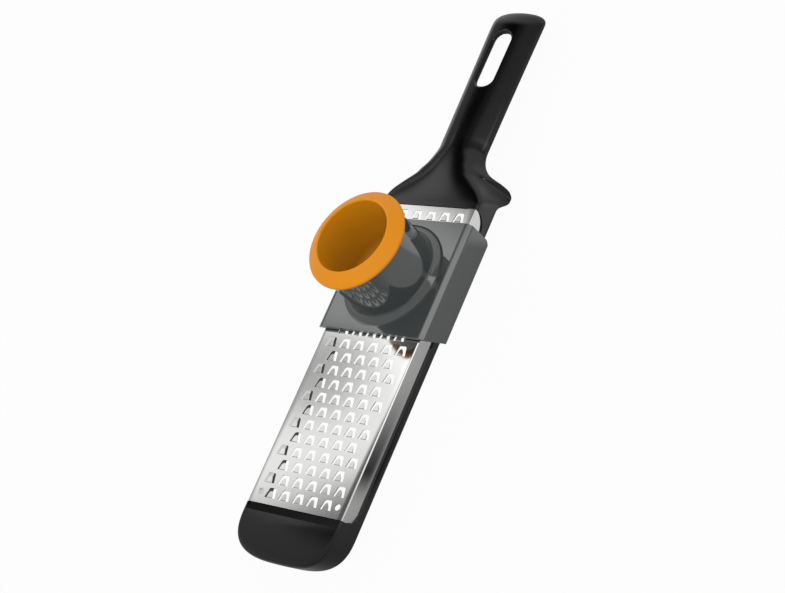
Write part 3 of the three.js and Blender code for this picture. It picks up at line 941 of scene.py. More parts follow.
    def body(self, y0: float, wall: float, top_wall: float, drop: float, datum: Datum) -> bpy.types.Mesh:
        """Solid through the moulding's sections from y0 to the tip.

        Each half section is a conic from the crown to the back edge, pulled towards the crease by its weight:
        p(r) = (crown + 2 w r crease + r^2 back) / (1 + 2 w r + r^2), with r = t / (1 - t) spaced so that the points
        are even along both legs and closer at the crease. The top also falls by the sag times the cube of the
        crease's share. Along the shoulder the back edge is the mean of its neighbourhood, so that the lugs are
        rounded.

        Args:
            y0: Where it starts.
            wall: How far its sides are drawn in.
            top_wall: How far its crown is drawn in.
            drop: How far its open back is carried straight down, for a cutter.
            datum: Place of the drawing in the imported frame.

        Returns:
            Closed mesh in metres.
        """
        end = self.tip - wall
        shoulder = self.blade.length + np.linspace(self.shoulder_start, self.fade_end, self.shoulder_rings)
        grip = np.linspace(self.blade.length + self.fade_end, end - self.tip_run, self.grip_rings)[1:-1]
        turn = np.radians(np.linspace(0, 90, self.tip_rings))
        y = np.concatenate([[y0], shoulder, grip, end - self.tip_run * (1.0 - np.sin(turn))])[:, None]
        size = self.section(y, wall, top_wall)
        spread = np.linspace(1.0, 0.0, self.leg_points)[None, :] ** self.leg_power
        pull = 2.0 * size["sharpness"]
        q = (1.0 - spread) * pull / (1.0 + pull)
        t = q / (q + pull * (1.0 - q))
        t = np.hstack([t, 1.0 - t[:, -2::-1]])
        weight = t * (1.0 - t) * pull
        total = t**2 + weight + (1.0 - t) ** 2
        top, mid, low = (1.0 - t) ** 2 / total, weight / total, t**2 / total
        steps = np.linspace(-self.blend, self.blend, self.blend_places)
        near = [self.section(y + step, wall, top_wall) for step in steps]
        own = smoothstep(y - self.blade.length, self.fade_start, self.fade_end)
        back, edge = (lerp(np.mean([part[key] for part in near], axis=0), size[key], own) for key in ("back", "edge"))
        x = low * back + mid * size["crease"]
        z = low * edge + (mid + top) * size["crown"] - size["sag"] * mid**3
        if drop:
            x = np.hstack([x, x[:, -1:]])
            z = np.hstack([z, z[:, -1:] - drop])
        x = np.hstack([-x[:, :0:-1], x])
        z = np.hstack([z[:, :0:-1], z])
        rings = np.stack([x, np.broadcast_to(y, x.shape), z], axis=-1)
        return Skin().loft(rings).mesh("moulding", datum)

    def toe_rings(self, levels: Array, insets: Array, end: float) -> Array:
        """Rings of the toe at rising levels.

        The nose is a superellipse |x / a|^p + |y / b|^p = 1 whose length shrinks towards its lower edge.

        Args:
            levels: Heights, one per ring or one per ring and point of the nose.
            insets: How far each is drawn in, of the same shape.
            end: Where the ring's straight end lies along y.

        Returns:
            Array of rings by points by 3.
        """
        angle = self.nose_angles
        z, inset = np.broadcast_arrays(levels, insets)
        level = np.minimum((z - self.rail_bottom) / (self.rim - self.toe_edge - self.rail_bottom), 1.0)
        half = lerp(self.half, self.top_half, level) - inset
        straight = min(self.toe_round - self.toe_length, end - self.hair)
        reach = straight + self.toe_length - self.toe_undercut * (1.0 - level) - inset
        power = 2.0 / self.toe_power
        cosine, sine = np.cos(angle), np.abs(np.sin(angle))
        x = half * np.sign(cosine) * np.abs(cosine) ** power
        y = straight - reach * sine**power
        rings = np.stack(np.broadcast_arrays(x, y, z), axis=-1)
        last, first = rings[:, -1:].copy(), rings[:, :1].copy()
        last[..., 1] = end
        first[..., 1] = end
        return np.concatenate([last, first, rings], axis=1)

    def toe(self, datum: Datum) -> bpy.types.Mesh:
        """Solid toe whose top edge is rounded, tightly along the sides and widely at the nose.

        Args:
            datum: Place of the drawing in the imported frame.

        Returns:
            Closed mesh in metres.
        """
        radius = lerp(self.toe_edge, self.nose_edge, np.sin(self.nose_angles) ** 2)
        turn = np.radians(np.linspace(0.0, 90.0, self.edge_rings))[:, None]
        z = self.rim - radius * (1.0 - np.sin(turn))
        inset = radius * (1.0 - np.cos(turn))
        foot = np.full_like(z[:1], self.rail_bottom)
        levels = np.vstack([foot, z])
        insets = np.vstack([np.zeros_like(foot), inset])
        rings = self.toe_rings(levels, insets, 2 * self.window[1])
        return Skin().loft(rings).mesh("toe", datum)

    def slot(self, datum: Datum) -> bpy.types.Mesh:
        """Cutter of the hanging slot: straight below, with a lip that rolls over into the handle's crown.

        Along the lip the outline grows by r (1 - cos a) while its height under the crown shrinks as r (1 - sin a).

        Args:
            datum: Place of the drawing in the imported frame.

        Returns:
            Closed mesh in metres.
        """
        top = self.tip - self.slot_end
        turn = np.radians(np.linspace(0.0, 90.0, self.lip_rings))
        grow = np.concatenate([[0.0], self.slot_lip * (1.0 - np.cos(turn)), [self.slot_lip + self.slot_flare] * 2])
        under = np.concatenate([[self.beyond], self.slot_lip * (1.0 - np.sin(turn)), [-self.slot_over, -self.beyond]])
        corner = (self.slot_width - self.slot_flat) / 2
        outline = rounded_slot(self.slot_width / 2, top - self.slot_length, top, corner, grow, self.slot_steps)
        size = self.section(outline[..., 1])
        height = size["crown"] - size["edge"]
        crown = size["edge"] + height * np.sqrt(1.0 - (outline[..., 0] / size["back"]) ** 2)
        rings = np.dstack([outline, crown - under[:, None]])
        return Skin().loft(rings).mesh("slot", datum)

    def flange_seat(self, side: float, datum: Datum) -> bpy.types.Mesh:
        """Cutter of the seat that a flange of the blade lies in, from the fold to outside the rail.

        Args:
            side: 1 for the right side, -1 for the left one.
            datum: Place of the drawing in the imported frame.

        Returns:
            Closed mesh in metres.
        """
        blade = self.blade
        corner = blade.flange_depth - blade.flange_straight + FIT
        low, end = -blade.flange_depth - FIT, blade.length
        outline = path(
            [0.0, self.beyond],
            arc((corner, low + corner), corner, 180, 270, 16),
            arc((end - corner, low + corner), corner, 270, 360, 16),
            [end, self.beyond],
        )
        edges = sorted((side * (blade.half - blade.sheet - FIT), side * self.beyond))
        return prism(outline, edges[0], edges[1], 0, datum)

    def build(self, datum: Datum) -> bpy.types.Mesh:
        """Joins the toe to the handle and cuts the hollows, the blade's seat, the window and the slot.

        Args:
            datum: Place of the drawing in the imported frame.

        Returns:
            Closed mesh in metres.
        """
        blade = self.blade
        window, start = self.window
        far = self.beyond
        moulding = combine(self.toe(datum), self.body(start, 0.0, 0.0, 0.0, datum), Cut.JOIN)
        inside = self.toe_rings(
            np.array([[2 * self.rest], [self.rim - self.top_shell]]), np.full((2, 1), self.shell), -self.cross_wall
        )
        moulding = combine(moulding, Skin().loft(inside).mesh("hollow", datum), Cut.REMOVE)
        start_hollow = blade.length + self.cross_wall
        moulding = combine(moulding, self.body(start_hollow, self.shell, self.top_shell, far, datum), Cut.REMOVE)
        neck, slot_low = blade.length + self.neck, self.tip - self.slot_end - self.slot_length
        for i in range(self.rib_count):
            y = lerp(neck, slot_low, (i + 0.5) / self.rib_count)
            low = (-self.half, y - self.rib / 2, self.rib_clear - self.grip_back)
            rib = block(low, (self.half, y + self.rib / 2, far), datum)
            fill = self.body(start_hollow, self.shell - self.hair, self.top_shell - self.hair, 0.0, datum)
            moulding = combine(moulding, combine(rib, fill, Cut.KEEP), Cut.JOIN)
        seat, tab = -blade.sheet - FIT, blade.tab_half + FIT
        ramp = np.array([
            [-self.ramp_length, self.rim], [0.0, self.rim - self.ramp_drop], [0.0, far], [-self.ramp_length, far],
        ])
        cuts = [
            block((-far, 0.0, seat), (far, blade.length, far), datum),
            self.flange_seat(1.0, datum),
            self.flange_seat(-1.0, datum),
            block((-window, start, -far), (window, blade.length, far), datum),
            block(
                (-blade.tab_half, blade.length - self.outlet_reach, -far),
                (blade.tab_half, start_hollow + self.outlet_reach, -blade.tab_depth - FIT - self.cross_wall), datum,
            ),
            prism(ramp, self.ramp_margin - self.top_half, self.top_half - self.ramp_margin, 0, datum),
            self.slot(datum),
            block((-tab, 0.0, -blade.tab_depth - FIT), (tab, blade.sheet + 2 * FIT, 0.0), datum),
        ]
        for cut in cuts:
            moulding = combine(moulding, cut, Cut.REMOVE)
        for side in (-1.0, 1.0):
            x = sorted((side * (window + self.hair), side * (window - self.stop_width)))
            low = (x[0], start - self.cross_wall, self.rail_bottom - self.stop_depth)
            high = (x[1], start + self.stop_length, self.rail_bottom + self.stop_depth)
            moulding = combine(moulding, block(low, high, datum), Cut.JOIN)
        return moulding

    def crispen(self, mesh: bpy.types.Mesh, datum: Datum) -> None:
        """Keeps the low step between the toe and its sloping band crisp: edges that lie on its line stay sharp.

        Args:
            mesh: Mesh of the dressed frame.
            datum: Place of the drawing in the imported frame.
        """
        points = np.zeros(len(mesh.vertices) * 3)
        mesh.vertices.foreach_get("co", points)
        line = datum.place(np.array([0.0, -self.ramp_length, self.rim]))
        on_line = np.abs(points.reshape(-1, 3)[:, 1:] - line[1:]).max(axis=1) < 2.0 * WELD * MM
        ends = np.zeros(len(mesh.edges) * 2, dtype=np.int32)
        mesh.edges.foreach_get("vertices", ends)
        crisp = np.zeros(len(mesh.edges), dtype=bool)
        mesh.edges.foreach_get("use_edge_sharp", crisp)
        mesh.edges.foreach_set("use_edge_sharp", crisp | on_line[ends.reshape(-1, 2)].all(axis=1))


@dataclass(frozen=True)
class Foot:
    """Soft plug in the toe with a sole that is level with the lugs."""

    frame: Frame
    plug: float = 7.0
    step: float = 4.5
    taper: float = 1.5
    edge: float = 1.0
    back: float = 2.0
    edge_rings: int = 7

    def build(self, datum: Datum) -> bpy.types.Mesh:
        """Stacks rings of the toe's outline, drawn in, from the sole up to the plug.

        Args:
            datum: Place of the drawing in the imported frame.

        Returns:
            Closed mesh in metres.
        """
        base = self.frame
        inside = base.shell + FIT
        sole = inside + self.step
        wall = -base.cross_wall - FIT
        stack = []
        for rise, run in self.edge * (1.0 - turned(np.radians(np.linspace(0.0, 90.0, self.edge_rings)))):
            stack.append((base.rest + rise, sole + self.taper + run, -self.back - self.taper - run))
        stack += [
            (base.rail_bottom, sole, -self.back),
            (base.rail_bottom, inside, wall),
            (base.rail_bottom + self.plug, inside, wall),
        ]
        rings = [base.toe_rings(np.array([[z]]), np.array([[inset]]), end) for z, inset, end in stack]
        return Skin().loft(np.concatenate(rings)).mesh("foot", datum)


@dataclass(frozen=True)
class Holder:
    """Grey food holder: a plate over the blade, walls that hook under the rails, and a round tube."""

    frame: Frame
    plate: float = 2.3
    wall: float = 1.9
    flare: float = 0.2
    fold: float = 3.5
    hook: float = 1.6
    hook_reach: float = 2.4
    slant: float = 6.9
    corner: float = 4.0
    gap: float = 10.0
    tube_radius: float = 24.3
    tube_wall: float = 2.0
    tube_height: float = 32.7
    tube_fillet: float = 4.5
    tube_lip: float = 0.5
    margin: float = 3.2
    facets: int = 192  # steps round the tube
    ease: float = 0.4  # stretch beside a rounding that keeps its shading from spreading
    lip_ease: float = 0.3  # the same under the tube's lip
    ring_ease: float = 0.25  # and round a circle in the plate
    border_share: float = 0.97  # how far out the plate's flat is kept
    flare_start: float = 0.05  # share of the flare that a wall has just under its fold

    @property
    def under(self) -> float:
        """Height of the plate's lower face."""
        return max(self.frame.blade.tongue_rise, self.frame.rim) + SLIDE

    @property
    def top(self) -> float:
        """Height of the plate's upper face."""
        return self.under + self.plate

    @property
    def mouth(self) -> float:
        """Height of the tube's mouth."""
        return self.top + self.tube_height

    @property
    def bore(self) -> float:
        """Inside radius of the tube."""
        return self.tube_radius - self.tube_wall

    @property
    def half_length(self) -> float:
        """Half of the plate's length."""
        return self.tube_radius + self.tube_fillet + self.margin

    @property
    def middle(self) -> float:
        """Place of the tube's axis along y."""
        return self.frame.blade.length - self.gap - self.half_length

    def wall_section(self) -> Array:
        """Path from the plate's upper face over the fold, down the wall, round the hook and back under the plate.

        Returns:
            Array of points in x and z.
        """
        base = self.frame
        hook_top = base.rail_bottom - SLIDE
        hook_low = hook_top - self.hook
        inner = base.half + SLIDE
        outer = inner + self.wall
        end = base.half - self.hook_reach
        edge = self.hook / 2
        fold_in = self.fold / 2
        return path(
            arc((outer - self.fold, self.top - self.fold), self.fold, 90, 0, 16),
            np.linspace(
                [outer + self.flare * self.flare_start, self.top - self.fold - self.ease],
                [outer + self.flare, hook_low + edge], 16,
            )[:-1],
            arc((outer + self.flare - edge, hook_low + edge), edge, 0, -90, 8),
            arc((end + edge / 2, hook_low + edge / 2), edge / 2, -90, -180, 6),
            arc((end + edge / 2, hook_top - edge / 2), edge / 2, 180, 90, 6),
            np.linspace([inner, hook_top], [inner, self.under - fold_in], 16)[:-1],
            arc((inner - fold_in, self.under - fold_in), fold_in, 0, 90, 8),
        )

    def run(self, z: Array) -> tuple[Array, Array]:
        """Front and back ends of the walls at a height: a slanted front, and a back with a round lower corner.

        Args:
            z: Heights.

        Returns:
            The front ends and the back ends, each an array like z.
        """
        hook_low = self.frame.rail_bottom - SLIDE - self.hook
        down = np.clip((self.under - z) / (self.under - hook_low), 0.0, 1.0)
        into = np.clip(hook_low + self.corner - z, 0.0, self.corner)
        back = self.half_length - (self.corner - np.sqrt(self.corner**2 - into**2))
        return -self.half_length + self.slant * down, back

    def rectangle(self, angle: Array, half_x: float) -> Array:
        """Points on the plate's border in the directions of the angles.

        Args:
            angle: Directions from the tube's axis.
            half_x: Half of the plate's flat width.

        Returns:
            Array of points with two coordinates.
        """
        turn = turned(angle)
        reach = [half_x, self.half_length] / np.maximum(np.abs(turn), TINY)
        return reach.min(axis=1, keepdims=True) * turn

    def angles(self, half_x: float) -> Array:
        """Directions round the tube, with one at each corner of the plate.

        Args:
            half_x: Half of the plate's flat width.

        Returns:
            Array of angles, starting at the right front corner.
        """
        corner = math.atan2(self.half_length, half_x)
        quarter = self.facets // 4
        right = np.linspace(-corner, corner, quarter + 1)[:-1]
        back = np.linspace(corner, math.pi - corner, quarter + 1)[:-1]
        return np.concatenate([right, back, right + math.pi, back + math.pi])

    def plate_rings(self, half_x: float, radius: float, z: float, angle: Array) -> Array:
        """Flat ring from a circle to the plate's border.

        Args:
            half_x: Half of the plate's flat width.
            radius: Radius of the circle.
            z: Height of the ring.
            angle: Directions of its points.

        Returns:
            Array of rings by points by 3.
        """
        circle, near = (reach * turned(angle) for reach in (radius, radius + self.ring_ease))
        border = self.rectangle(angle, half_x)
        rings = np.stack([circle, near, lerp(near, border, self.border_share), border])
        return np.dstack([rings, np.full(rings.shape[:2], z)])

    def tube_profile(self) -> Array:
        """Half section of the tube as radius and height, from the plate's upper face to its lower one.

        Returns:
            Array of points with two coordinates.
        """
        fillet, lip = self.tube_fillet, self.tube_lip
        outer, rim = self.tube_radius, self.mouth - lip
        return path(
            arc((outer + fillet, self.top + fillet), fillet, 270, 180, 20),
            [[outer, self.top + fillet + self.ease], [outer, rim - self.lip_ease]],
            arc((outer - lip, rim), lip, 0, 90, 6),
            arc((self.bore + lip, rim), lip, 90, 180, 6),
            [[self.bore, self.under + self.ease], [self.bore, self.under]],
        )

    def build(self, datum: Datum) -> bpy.types.Mesh:
        """Welds the plate, the tube, the two walls and the ends.

        Args:
            datum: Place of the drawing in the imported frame.

        Returns:
            Closed mesh in metres.
        """
        skin = Skin()
        section = self.wall_section()
        half_x = float(section[0, 0])
        angle = self.angles(half_x)
        skin.grid(lathe(self.tube_profile(), angle), close=True)
        skin.grid(self.plate_rings(half_x, self.tube_radius + self.tube_fillet, self.top, angle), close=True)
        under_x = float(section[-1, 0])
        lower = self.plate_rings(under_x, self.bore, self.under, angle)
        border = self.rectangle(angle, half_x)
        scale = np.array([under_x / half_x, 1.0])
        lower[-1, :, :2] = border * scale
        skin.grid(lower[::-1], close=True)
        quarter = self.facets // 4
        share = (border[: quarter + 1, 1] + self.half_length) / (2 * self.half_length)
        front, back = self.run(section[:, 1])
        y = lerp(front[:, None], back[:, None], share[None, :])
        for side in (-1.0, 1.0):
            x = side * np.broadcast_to(section[:, :1], y.shape)
            wall = np.stack([x, y, np.broadcast_to(section[:, 1:], y.shape)], axis=-1)
            skin.grid(wall)
            skin.polygon(wall[:, 0])
            skin.polygon(wall[::-1, -1])
        back_edge = border[quarter : 2 * quarter + 1]
        ends = np.stack([
            np.insert(back_edge, 2, self.top, axis=1), np.insert(back_edge * scale, 2, self.under, axis=1)
        ])
        for side in (1.0, -1.0):
            skin.grid(ends * [1.0, side, 1.0])
        skin.points = [points + np.array([0.0, self.middle, 0.0]) for points in skin.points]
        return skin.mesh("holder", datum)


@dataclass(frozen=True)
class Pusher:
    """Orange hollow cup with a flared collar that lies on the tube's mouth, and blunt spikes under its floor."""

    holder: Holder
    overhang: float = 2.8
    edge_height: float = 1.5
    rise: float = 4.2
    lap: float = 1.0
    wall: float = 2.1
    lip: float = 0.8
    floor: float = 1.6
    fillet: float = 5.0
    spike_radius: float = 1.6
    spike_height: float = 2.4
    spike_ring: float = 13.0
    spikes: int = 6
    spike_clear: float = 0.8
    spike_widths: tuple[float, ...] = (1.0, 0.95, 0.5, 0.28, 0.14)  # shares of the spike's radius
    spike_depths: tuple[float, ...] = (-0.3, 0.0, 0.62, 0.93, 1.0)  # at these shares of its height
    spike_sides: int = 12
    ease: float = 0.3  # stretch beside a rounding that keeps its shading from spreading
    brow_share: float = 0.6  # how far the collar's upper rounding is let down, as a share of its radius
    facets: int = 192

    @property
    def floor_under(self) -> float:
        """Height of the floor's lower face."""
        return self.holder.frame.blade.tongue_rise + self.spike_clear + self.spike_height

    def profile(self) -> Array:
        """Half section of the cup as radius and height, from the middle of its underside to that of its floor.

        Returns:
            Array of points with two coordinates.
        """
        skirt = self.holder.bore - SLIDE
        hollow = skirt - self.wall
        floor_top = self.floor_under + self.floor
        collar_under = self.holder.mouth + FIT
        bottom = collar_under - self.lap
        brow = bottom + self.edge_height
        top = brow + self.rise
        rim = self.holder.tube_radius + self.overhang
        inside = self.holder.tube_radius + SLIDE
        soft = self.edge_height / 3
        chamfer = self.floor / 2
        slope = math.degrees(math.atan2(rim - hollow - self.lip, self.rise))
        return path(
            [[0.0, self.floor_under], [skirt - chamfer - self.ease, self.floor_under]],
            arc((skirt - chamfer, self.floor_under + chamfer), chamfer, 270, 360, 8),
            [[skirt, collar_under], [inside, collar_under], [inside, bottom]],
            arc((rim - soft, bottom + soft), soft, 270, 360, 6),
            arc((rim - soft, brow - soft * self.brow_share), soft, 0, slope, 6),
            arc((hollow + self.lip, top - self.lip), self.lip, slope, 180, 12),
            arc((hollow - self.fillet, floor_top + self.fillet), self.fillet, 0, -90, 16),
            [[0.0, floor_top]],
        )

    def spike(self, x: float, y: float) -> Array:
        """Rings of one spike: a cone with a round tip, its root sunk into the floor.

        Args:
            x: Place of its axis across.
            y: Place of its axis along the tool.

        Returns:
            Array of rings by points by 3.
        """
        angle = np.linspace(0.0, 2.0 * np.pi, self.spike_sides + 1)[:-1]
        radius = self.spike_radius * np.array(self.spike_widths)
        z = self.floor_under - self.spike_height * np.array(self.spike_depths)
        return lathe(np.column_stack([radius, z]), angle, (x, y))

    def build(self, datum: Datum) -> bpy.types.Mesh:
        """Turns the profile about the tube's axis and joins the spikes to the floor.

        Args:
            datum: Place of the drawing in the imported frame.

        Returns:
            Closed mesh in metres.
        """
        angle = np.linspace(0.0, 2.0 * np.pi, self.facets + 1)[:-1]
        middle = self.holder.middle
        rings = lathe(self.profile(), angle, (0.0, middle))
        cup = Skin().grid(rings, close=True).mesh("cup", datum)
        for i in range(self.spikes + 1):
            ring = self.spike_ring if i < self.spikes else 0.0
            turn = 2.0 * math.pi * i / self.spikes
            point = self.spike(ring * math.cos(turn), middle + ring * math.sin(turn))
            cup = combine(cup, Skin().loft(point).mesh("spike", datum), Cut.JOIN)
        return cup


def direction(azimuth: float, elevation: float) -> Vector:
    """Unit vector from an azimuth, from +x towards +y, and an elevation, both in degrees."""
    turn, lift = math.radians(azimuth), math.radians(elevation)
    return Vector((math.cos(lift) * math.cos(turn), math.cos(lift) * math.sin(turn), math.sin(lift)))


def upright(back: Vector) -> Matrix:
    """Turn of a thing whose own z axis points back and whose own x axis is level."""
    side = Vector((0.0, 0.0, 1.0)).cross(back).normalized()
    return Matrix((side, back.cross(side), back)).transposed().to_4x4()


def product_of_steps(tree: bpy.types.NodeTree, steps: list[tuple]) -> bpy.types.NodeSocket:
    """Multiplies smooth steps.

    Args:
        tree: Node tree that the nodes join.
        steps: For each step its value socket, where it starts and ends, and its levels there.

    Returns:
        Socket with the product.
    """
    product: bpy.types.NodeSocket | float = 1.0
    for value, start, end, first, last in steps:
        edge = add_node(
            tree, "ShaderNodeMapRange", {"interpolation_type": "SMOOTHSTEP"}, Value=value,
            From_Min=start, From_Max=end, To_Min=first, To_Max=last,
        )
        product = maths(tree, "MULTIPLY", product, edge.outputs["Result"])
    return product


def mixed(
    tree: bpy.types.NodeTree, share: bpy.types.NodeSocket, first: bpy.types.NodeSocket | float,
    second: bpy.types.NodeSocket | float,
) -> bpy.types.NodeSocket:
    """Socket with a value that goes from the first one to the second one by a share."""
    return add_node(tree, "ShaderNodeMix", i0=share, i2=first, i3=second).outputs[0]


def ray_kinds(tree: bpy.types.NodeTree) -> tuple[bpy.types.NodeSocket, bpy.types.NodeSocket]:
    """Sockets that are 1 for rays from the camera, and 1 for rays that a surface mirrors or lets through."""
    rays = add_node(tree, "ShaderNodeLightPath").outputs
    return rays["Is Camera Ray"], maths(tree, "MAXIMUM", rays["Is Glossy Ray"], rays["Is Transmission Ray"])


def square(name: str, half: float, material: bpy.types.Material) -> bpy.types.Object:
    """Makes a flat square about its own origin.

    Args:
        name: Name of the object.
        half: Half of its side, in metres.
        material: Its material.

    Returns:
        The new object.
    """
    mesh = bpy.data.meshes.new(name)
    mesh.from_pydata([(-half, -half, 0), (half, -half, 0), (half, half, 0), (-half, half, 0)], [], [(0, 1, 2, 3)])
    mesh.materials.append(material)
    thing = bpy.data.objects.new(name, mesh)
    bpy.context.scene.collection.objects.link(thing)
    return thing


def mirrored_card(
    name: str, half: float, material: bpy.types.Material, level: bpy.types.NodeSocket,
    through: bpy.types.NodeSocket | tuple[float, ...] = WHITE,
) -> bpy.types.Object:
    """Makes a square card that only mirrors show, whose glow is added to what is behind it.

    Args:
        name: Name of the object.
        half: Half of its side, in metres.
        material: Material that has the nodes of the levels.
        level: Brightness of the card.
        through: Share of what is behind that shows through.

    Returns:
        The new card.
    """
    tree = material.node_tree
    glow = add_node(tree, "ShaderNodeEmission", Color=WHITE, Strength=level)
    clear = add_node(tree, "ShaderNodeBsdfTransparent", Color=through)
    shine = add_node(tree, "ShaderNodeAddShader", i0=glow.outputs[0], i1=clear.outputs[0])
    add_node(tree, "ShaderNodeOutputMaterial", Surface=shine.outputs[0])
    card = square(name, half, material)
    card.visible_camera = False
    card.visible_diffuse = False
    card.visible_shadow = False
    return card


@dataclass(frozen=True)
class Softbox:
    """A rectangular lamp that looks at the tool.

    Attributes:
        name: Name of the lamp.
        azimuth: Direction that it stands in, in degrees from +x towards +y.
        elevation: Its height over the floor, in degrees.
        distance: Metres from the tool's middle.
        width: Metres across.
        height: Metres up and down.
        radiance: Brightness of its face, where 1 is white.
    """

    name: str
    azimuth: float
    elevation: float
    distance: float
    width: float
    height: float
    radiance: float

    def build(self, target: Vector) -> None:
        """Places the lamp so that it faces the target; mirrors show the shaped card instead.

        Args:
            target: Point that it looks at.
        """
        lamp = bpy.data.lights.new(self.name, "AREA")
        lamp.shape = "RECTANGLE"
        lamp.size = self.width
        lamp.size_y = self.height
        lamp.energy = self.radiance * math.pi * self.width * self.height
        stand = bpy.data.objects.new(self.name, lamp)
        bpy.context.scene.collection.objects.link(stand)
        away = direction(self.azimuth, self.elevation)
        stand.location = target + self.distance * away
        stand.rotation_euler = away.to_track_quat("Z", "Y").to_euler()
        stand.visible_glossy = False


@dataclass(frozen=True)
class ShapedCard:
    """A bright card with soft, cut edges that only mirrors show.

    Attributes:
        azimuth: Direction that it stands in, in degrees from +x towards +y.
        elevation: Its height over the floor, in degrees.
        distance: Metres from the tool's middle.
        half: Half of its side, in metres.
        left: Where its left edge is dark and where it is bright, in metres across.
        right: Where its right edge is bright and where it is dark, in metres across.
        low: Where its lower edge is dark and where it is bright, in metres up.
        cut: Where the cut over its upper right corner is bright and where it is dark, across plus cut_lean times up.
        gain: How much brighter it is towards its left edge.
        gain_span: Where across it is brighter by all of that and where by none.
        notch: Where a dim notch starts, is dim, is still dim and ends, across plus notch_lean times up.
        notch_top: Where the notch is dim and where it has ended, in metres up.
        notch_depth: Share of the brightness that the notch takes away.
        shade: Where the cut corner starts to hide what is behind it and where it does so most, as for the cut.
        shade_side: Where across this hiding is full and where it has ended.
        shade_depth: Share of what is behind that it hides.
        radiance: Brightness of its face, where 1 is white.
    """

    azimuth: float = 165.0
    elevation: float = 33.0
    distance: float = 1.4
    half: float = 0.6
    left: tuple[float, float] = (-0.42, -0.33)
    right: tuple[float, float] = (0.055, 0.08)
    low: tuple[float, float] = (0.11, 0.2)
    cut: tuple[float, float] = (0.345, 0.445)
    cut_lean: float = 1.15
    gain: float = 1.4
    gain_span: tuple[float, float] = (-0.2, -0.15)
    notch: tuple[float, float, float, float] = (-0.056, -0.044, 0.035, 0.1)
    notch_lean: float = 0.52
    notch_top: tuple[float, float] = (0.283, 0.318)
    notch_depth: float = 0.9
    shade: tuple[float, float] = (0.37, 0.43)
    shade_side: tuple[float, float] = (0.03, 0.09)
    shade_depth: float = 0.8
    radiance: float = 0.92

    def build(self, target: Vector) -> None:
        """Places the card, with its brightness as a product of smooth steps across, up and over its corner.

        Args:
            target: Point that it faces.
        """
        material = blank_material("lit_card")
        tree = material.node_tree
        place = add_node(tree, "ShaderNodeTexCoord").outputs["Object"]
        across, up, _ = add_node(tree, "ShaderNodeSeparateXYZ", Vector=place).outputs
        over, past = (maths(tree, "MULTIPLY_ADD", up, lean, across) for lean in (self.cut_lean, self.notch_lean))
        dim = product_of_steps(tree, [
            (past, *self.notch[:2], 0.0, self.notch_depth), (past, *self.notch[2:], 1.0, 0.0),
            (up, *self.notch_top, 1.0, 0.0),
        ])
        edges = product_of_steps(tree, [
            (across, *self.left, 0.0, self.radiance), (up, *self.low, 0.0, 1.0), (over, *self.cut, 1.0, 0.0),
            (across, *self.gain_span, self.gain, 1.0), (across, *self.right, 1.0, 0.0),
        ])
        level = maths(tree, "MULTIPLY", edges, maths(tree, "SUBTRACT", 1.0, dim))
        hidden = product_of_steps(tree, [
            (over, *self.shade, 0.0, self.shade_depth), (across, *self.shade_side, 1.0, 0.0),
        ])
        card = mirrored_card("shaped_card", self.half, material, level, maths(tree, "SUBTRACT", 1.0, hidden))
        away = direction(self.azimuth, self.elevation)
        card.matrix_world = Matrix.Translation(target + self.distance * away) @ upright(away)


@dataclass(frozen=True)
class NearCard:
    """A small card close to the tool that only mirrors show, brightest in its middle.

    Attributes:
        name: Name of its object.
        centre: Its middle, in the drawing's millimetres.
        faces: The point that it faces, in the drawing's millimetres.
        half: Half of its side, in millimetres.
        radiance: Brightness of its middle, where 1 is white.
        core: Share of its half side that is fully bright.
    """

    name: str
    centre: tuple[float, float, float]
    faces: tuple[float, float, float]
    half: float
    radiance: float
    core: float = 0.4

    def build(self, datum: Datum) -> None:
        """Places the card, with its brightness falling smoothly from the middle to the edge.

        Args:
            datum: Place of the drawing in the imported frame.
        """
        material = blank_material(self.name)
        tree = material.node_tree
        place = add_node(tree, "ShaderNodeTexCoord").outputs["Object"]
        reach = add_node(tree, "ShaderNodeVectorMath", {"operation": "LENGTH"}, i0=place).outputs["Value"]
        half = self.half * MM
        level = product_of_steps(tree, [(reach, self.core * half, half, self.radiance, 0.0)])
        card = mirrored_card(self.name, half, material, level)
        centre, target = (Vector(datum.place(np.array(point))) for point in (self.centre, self.faces))
        card.matrix_world = Matrix.Translation(centre) @ (target - centre).to_track_quat("Z", "Y").to_matrix().to_4x4()


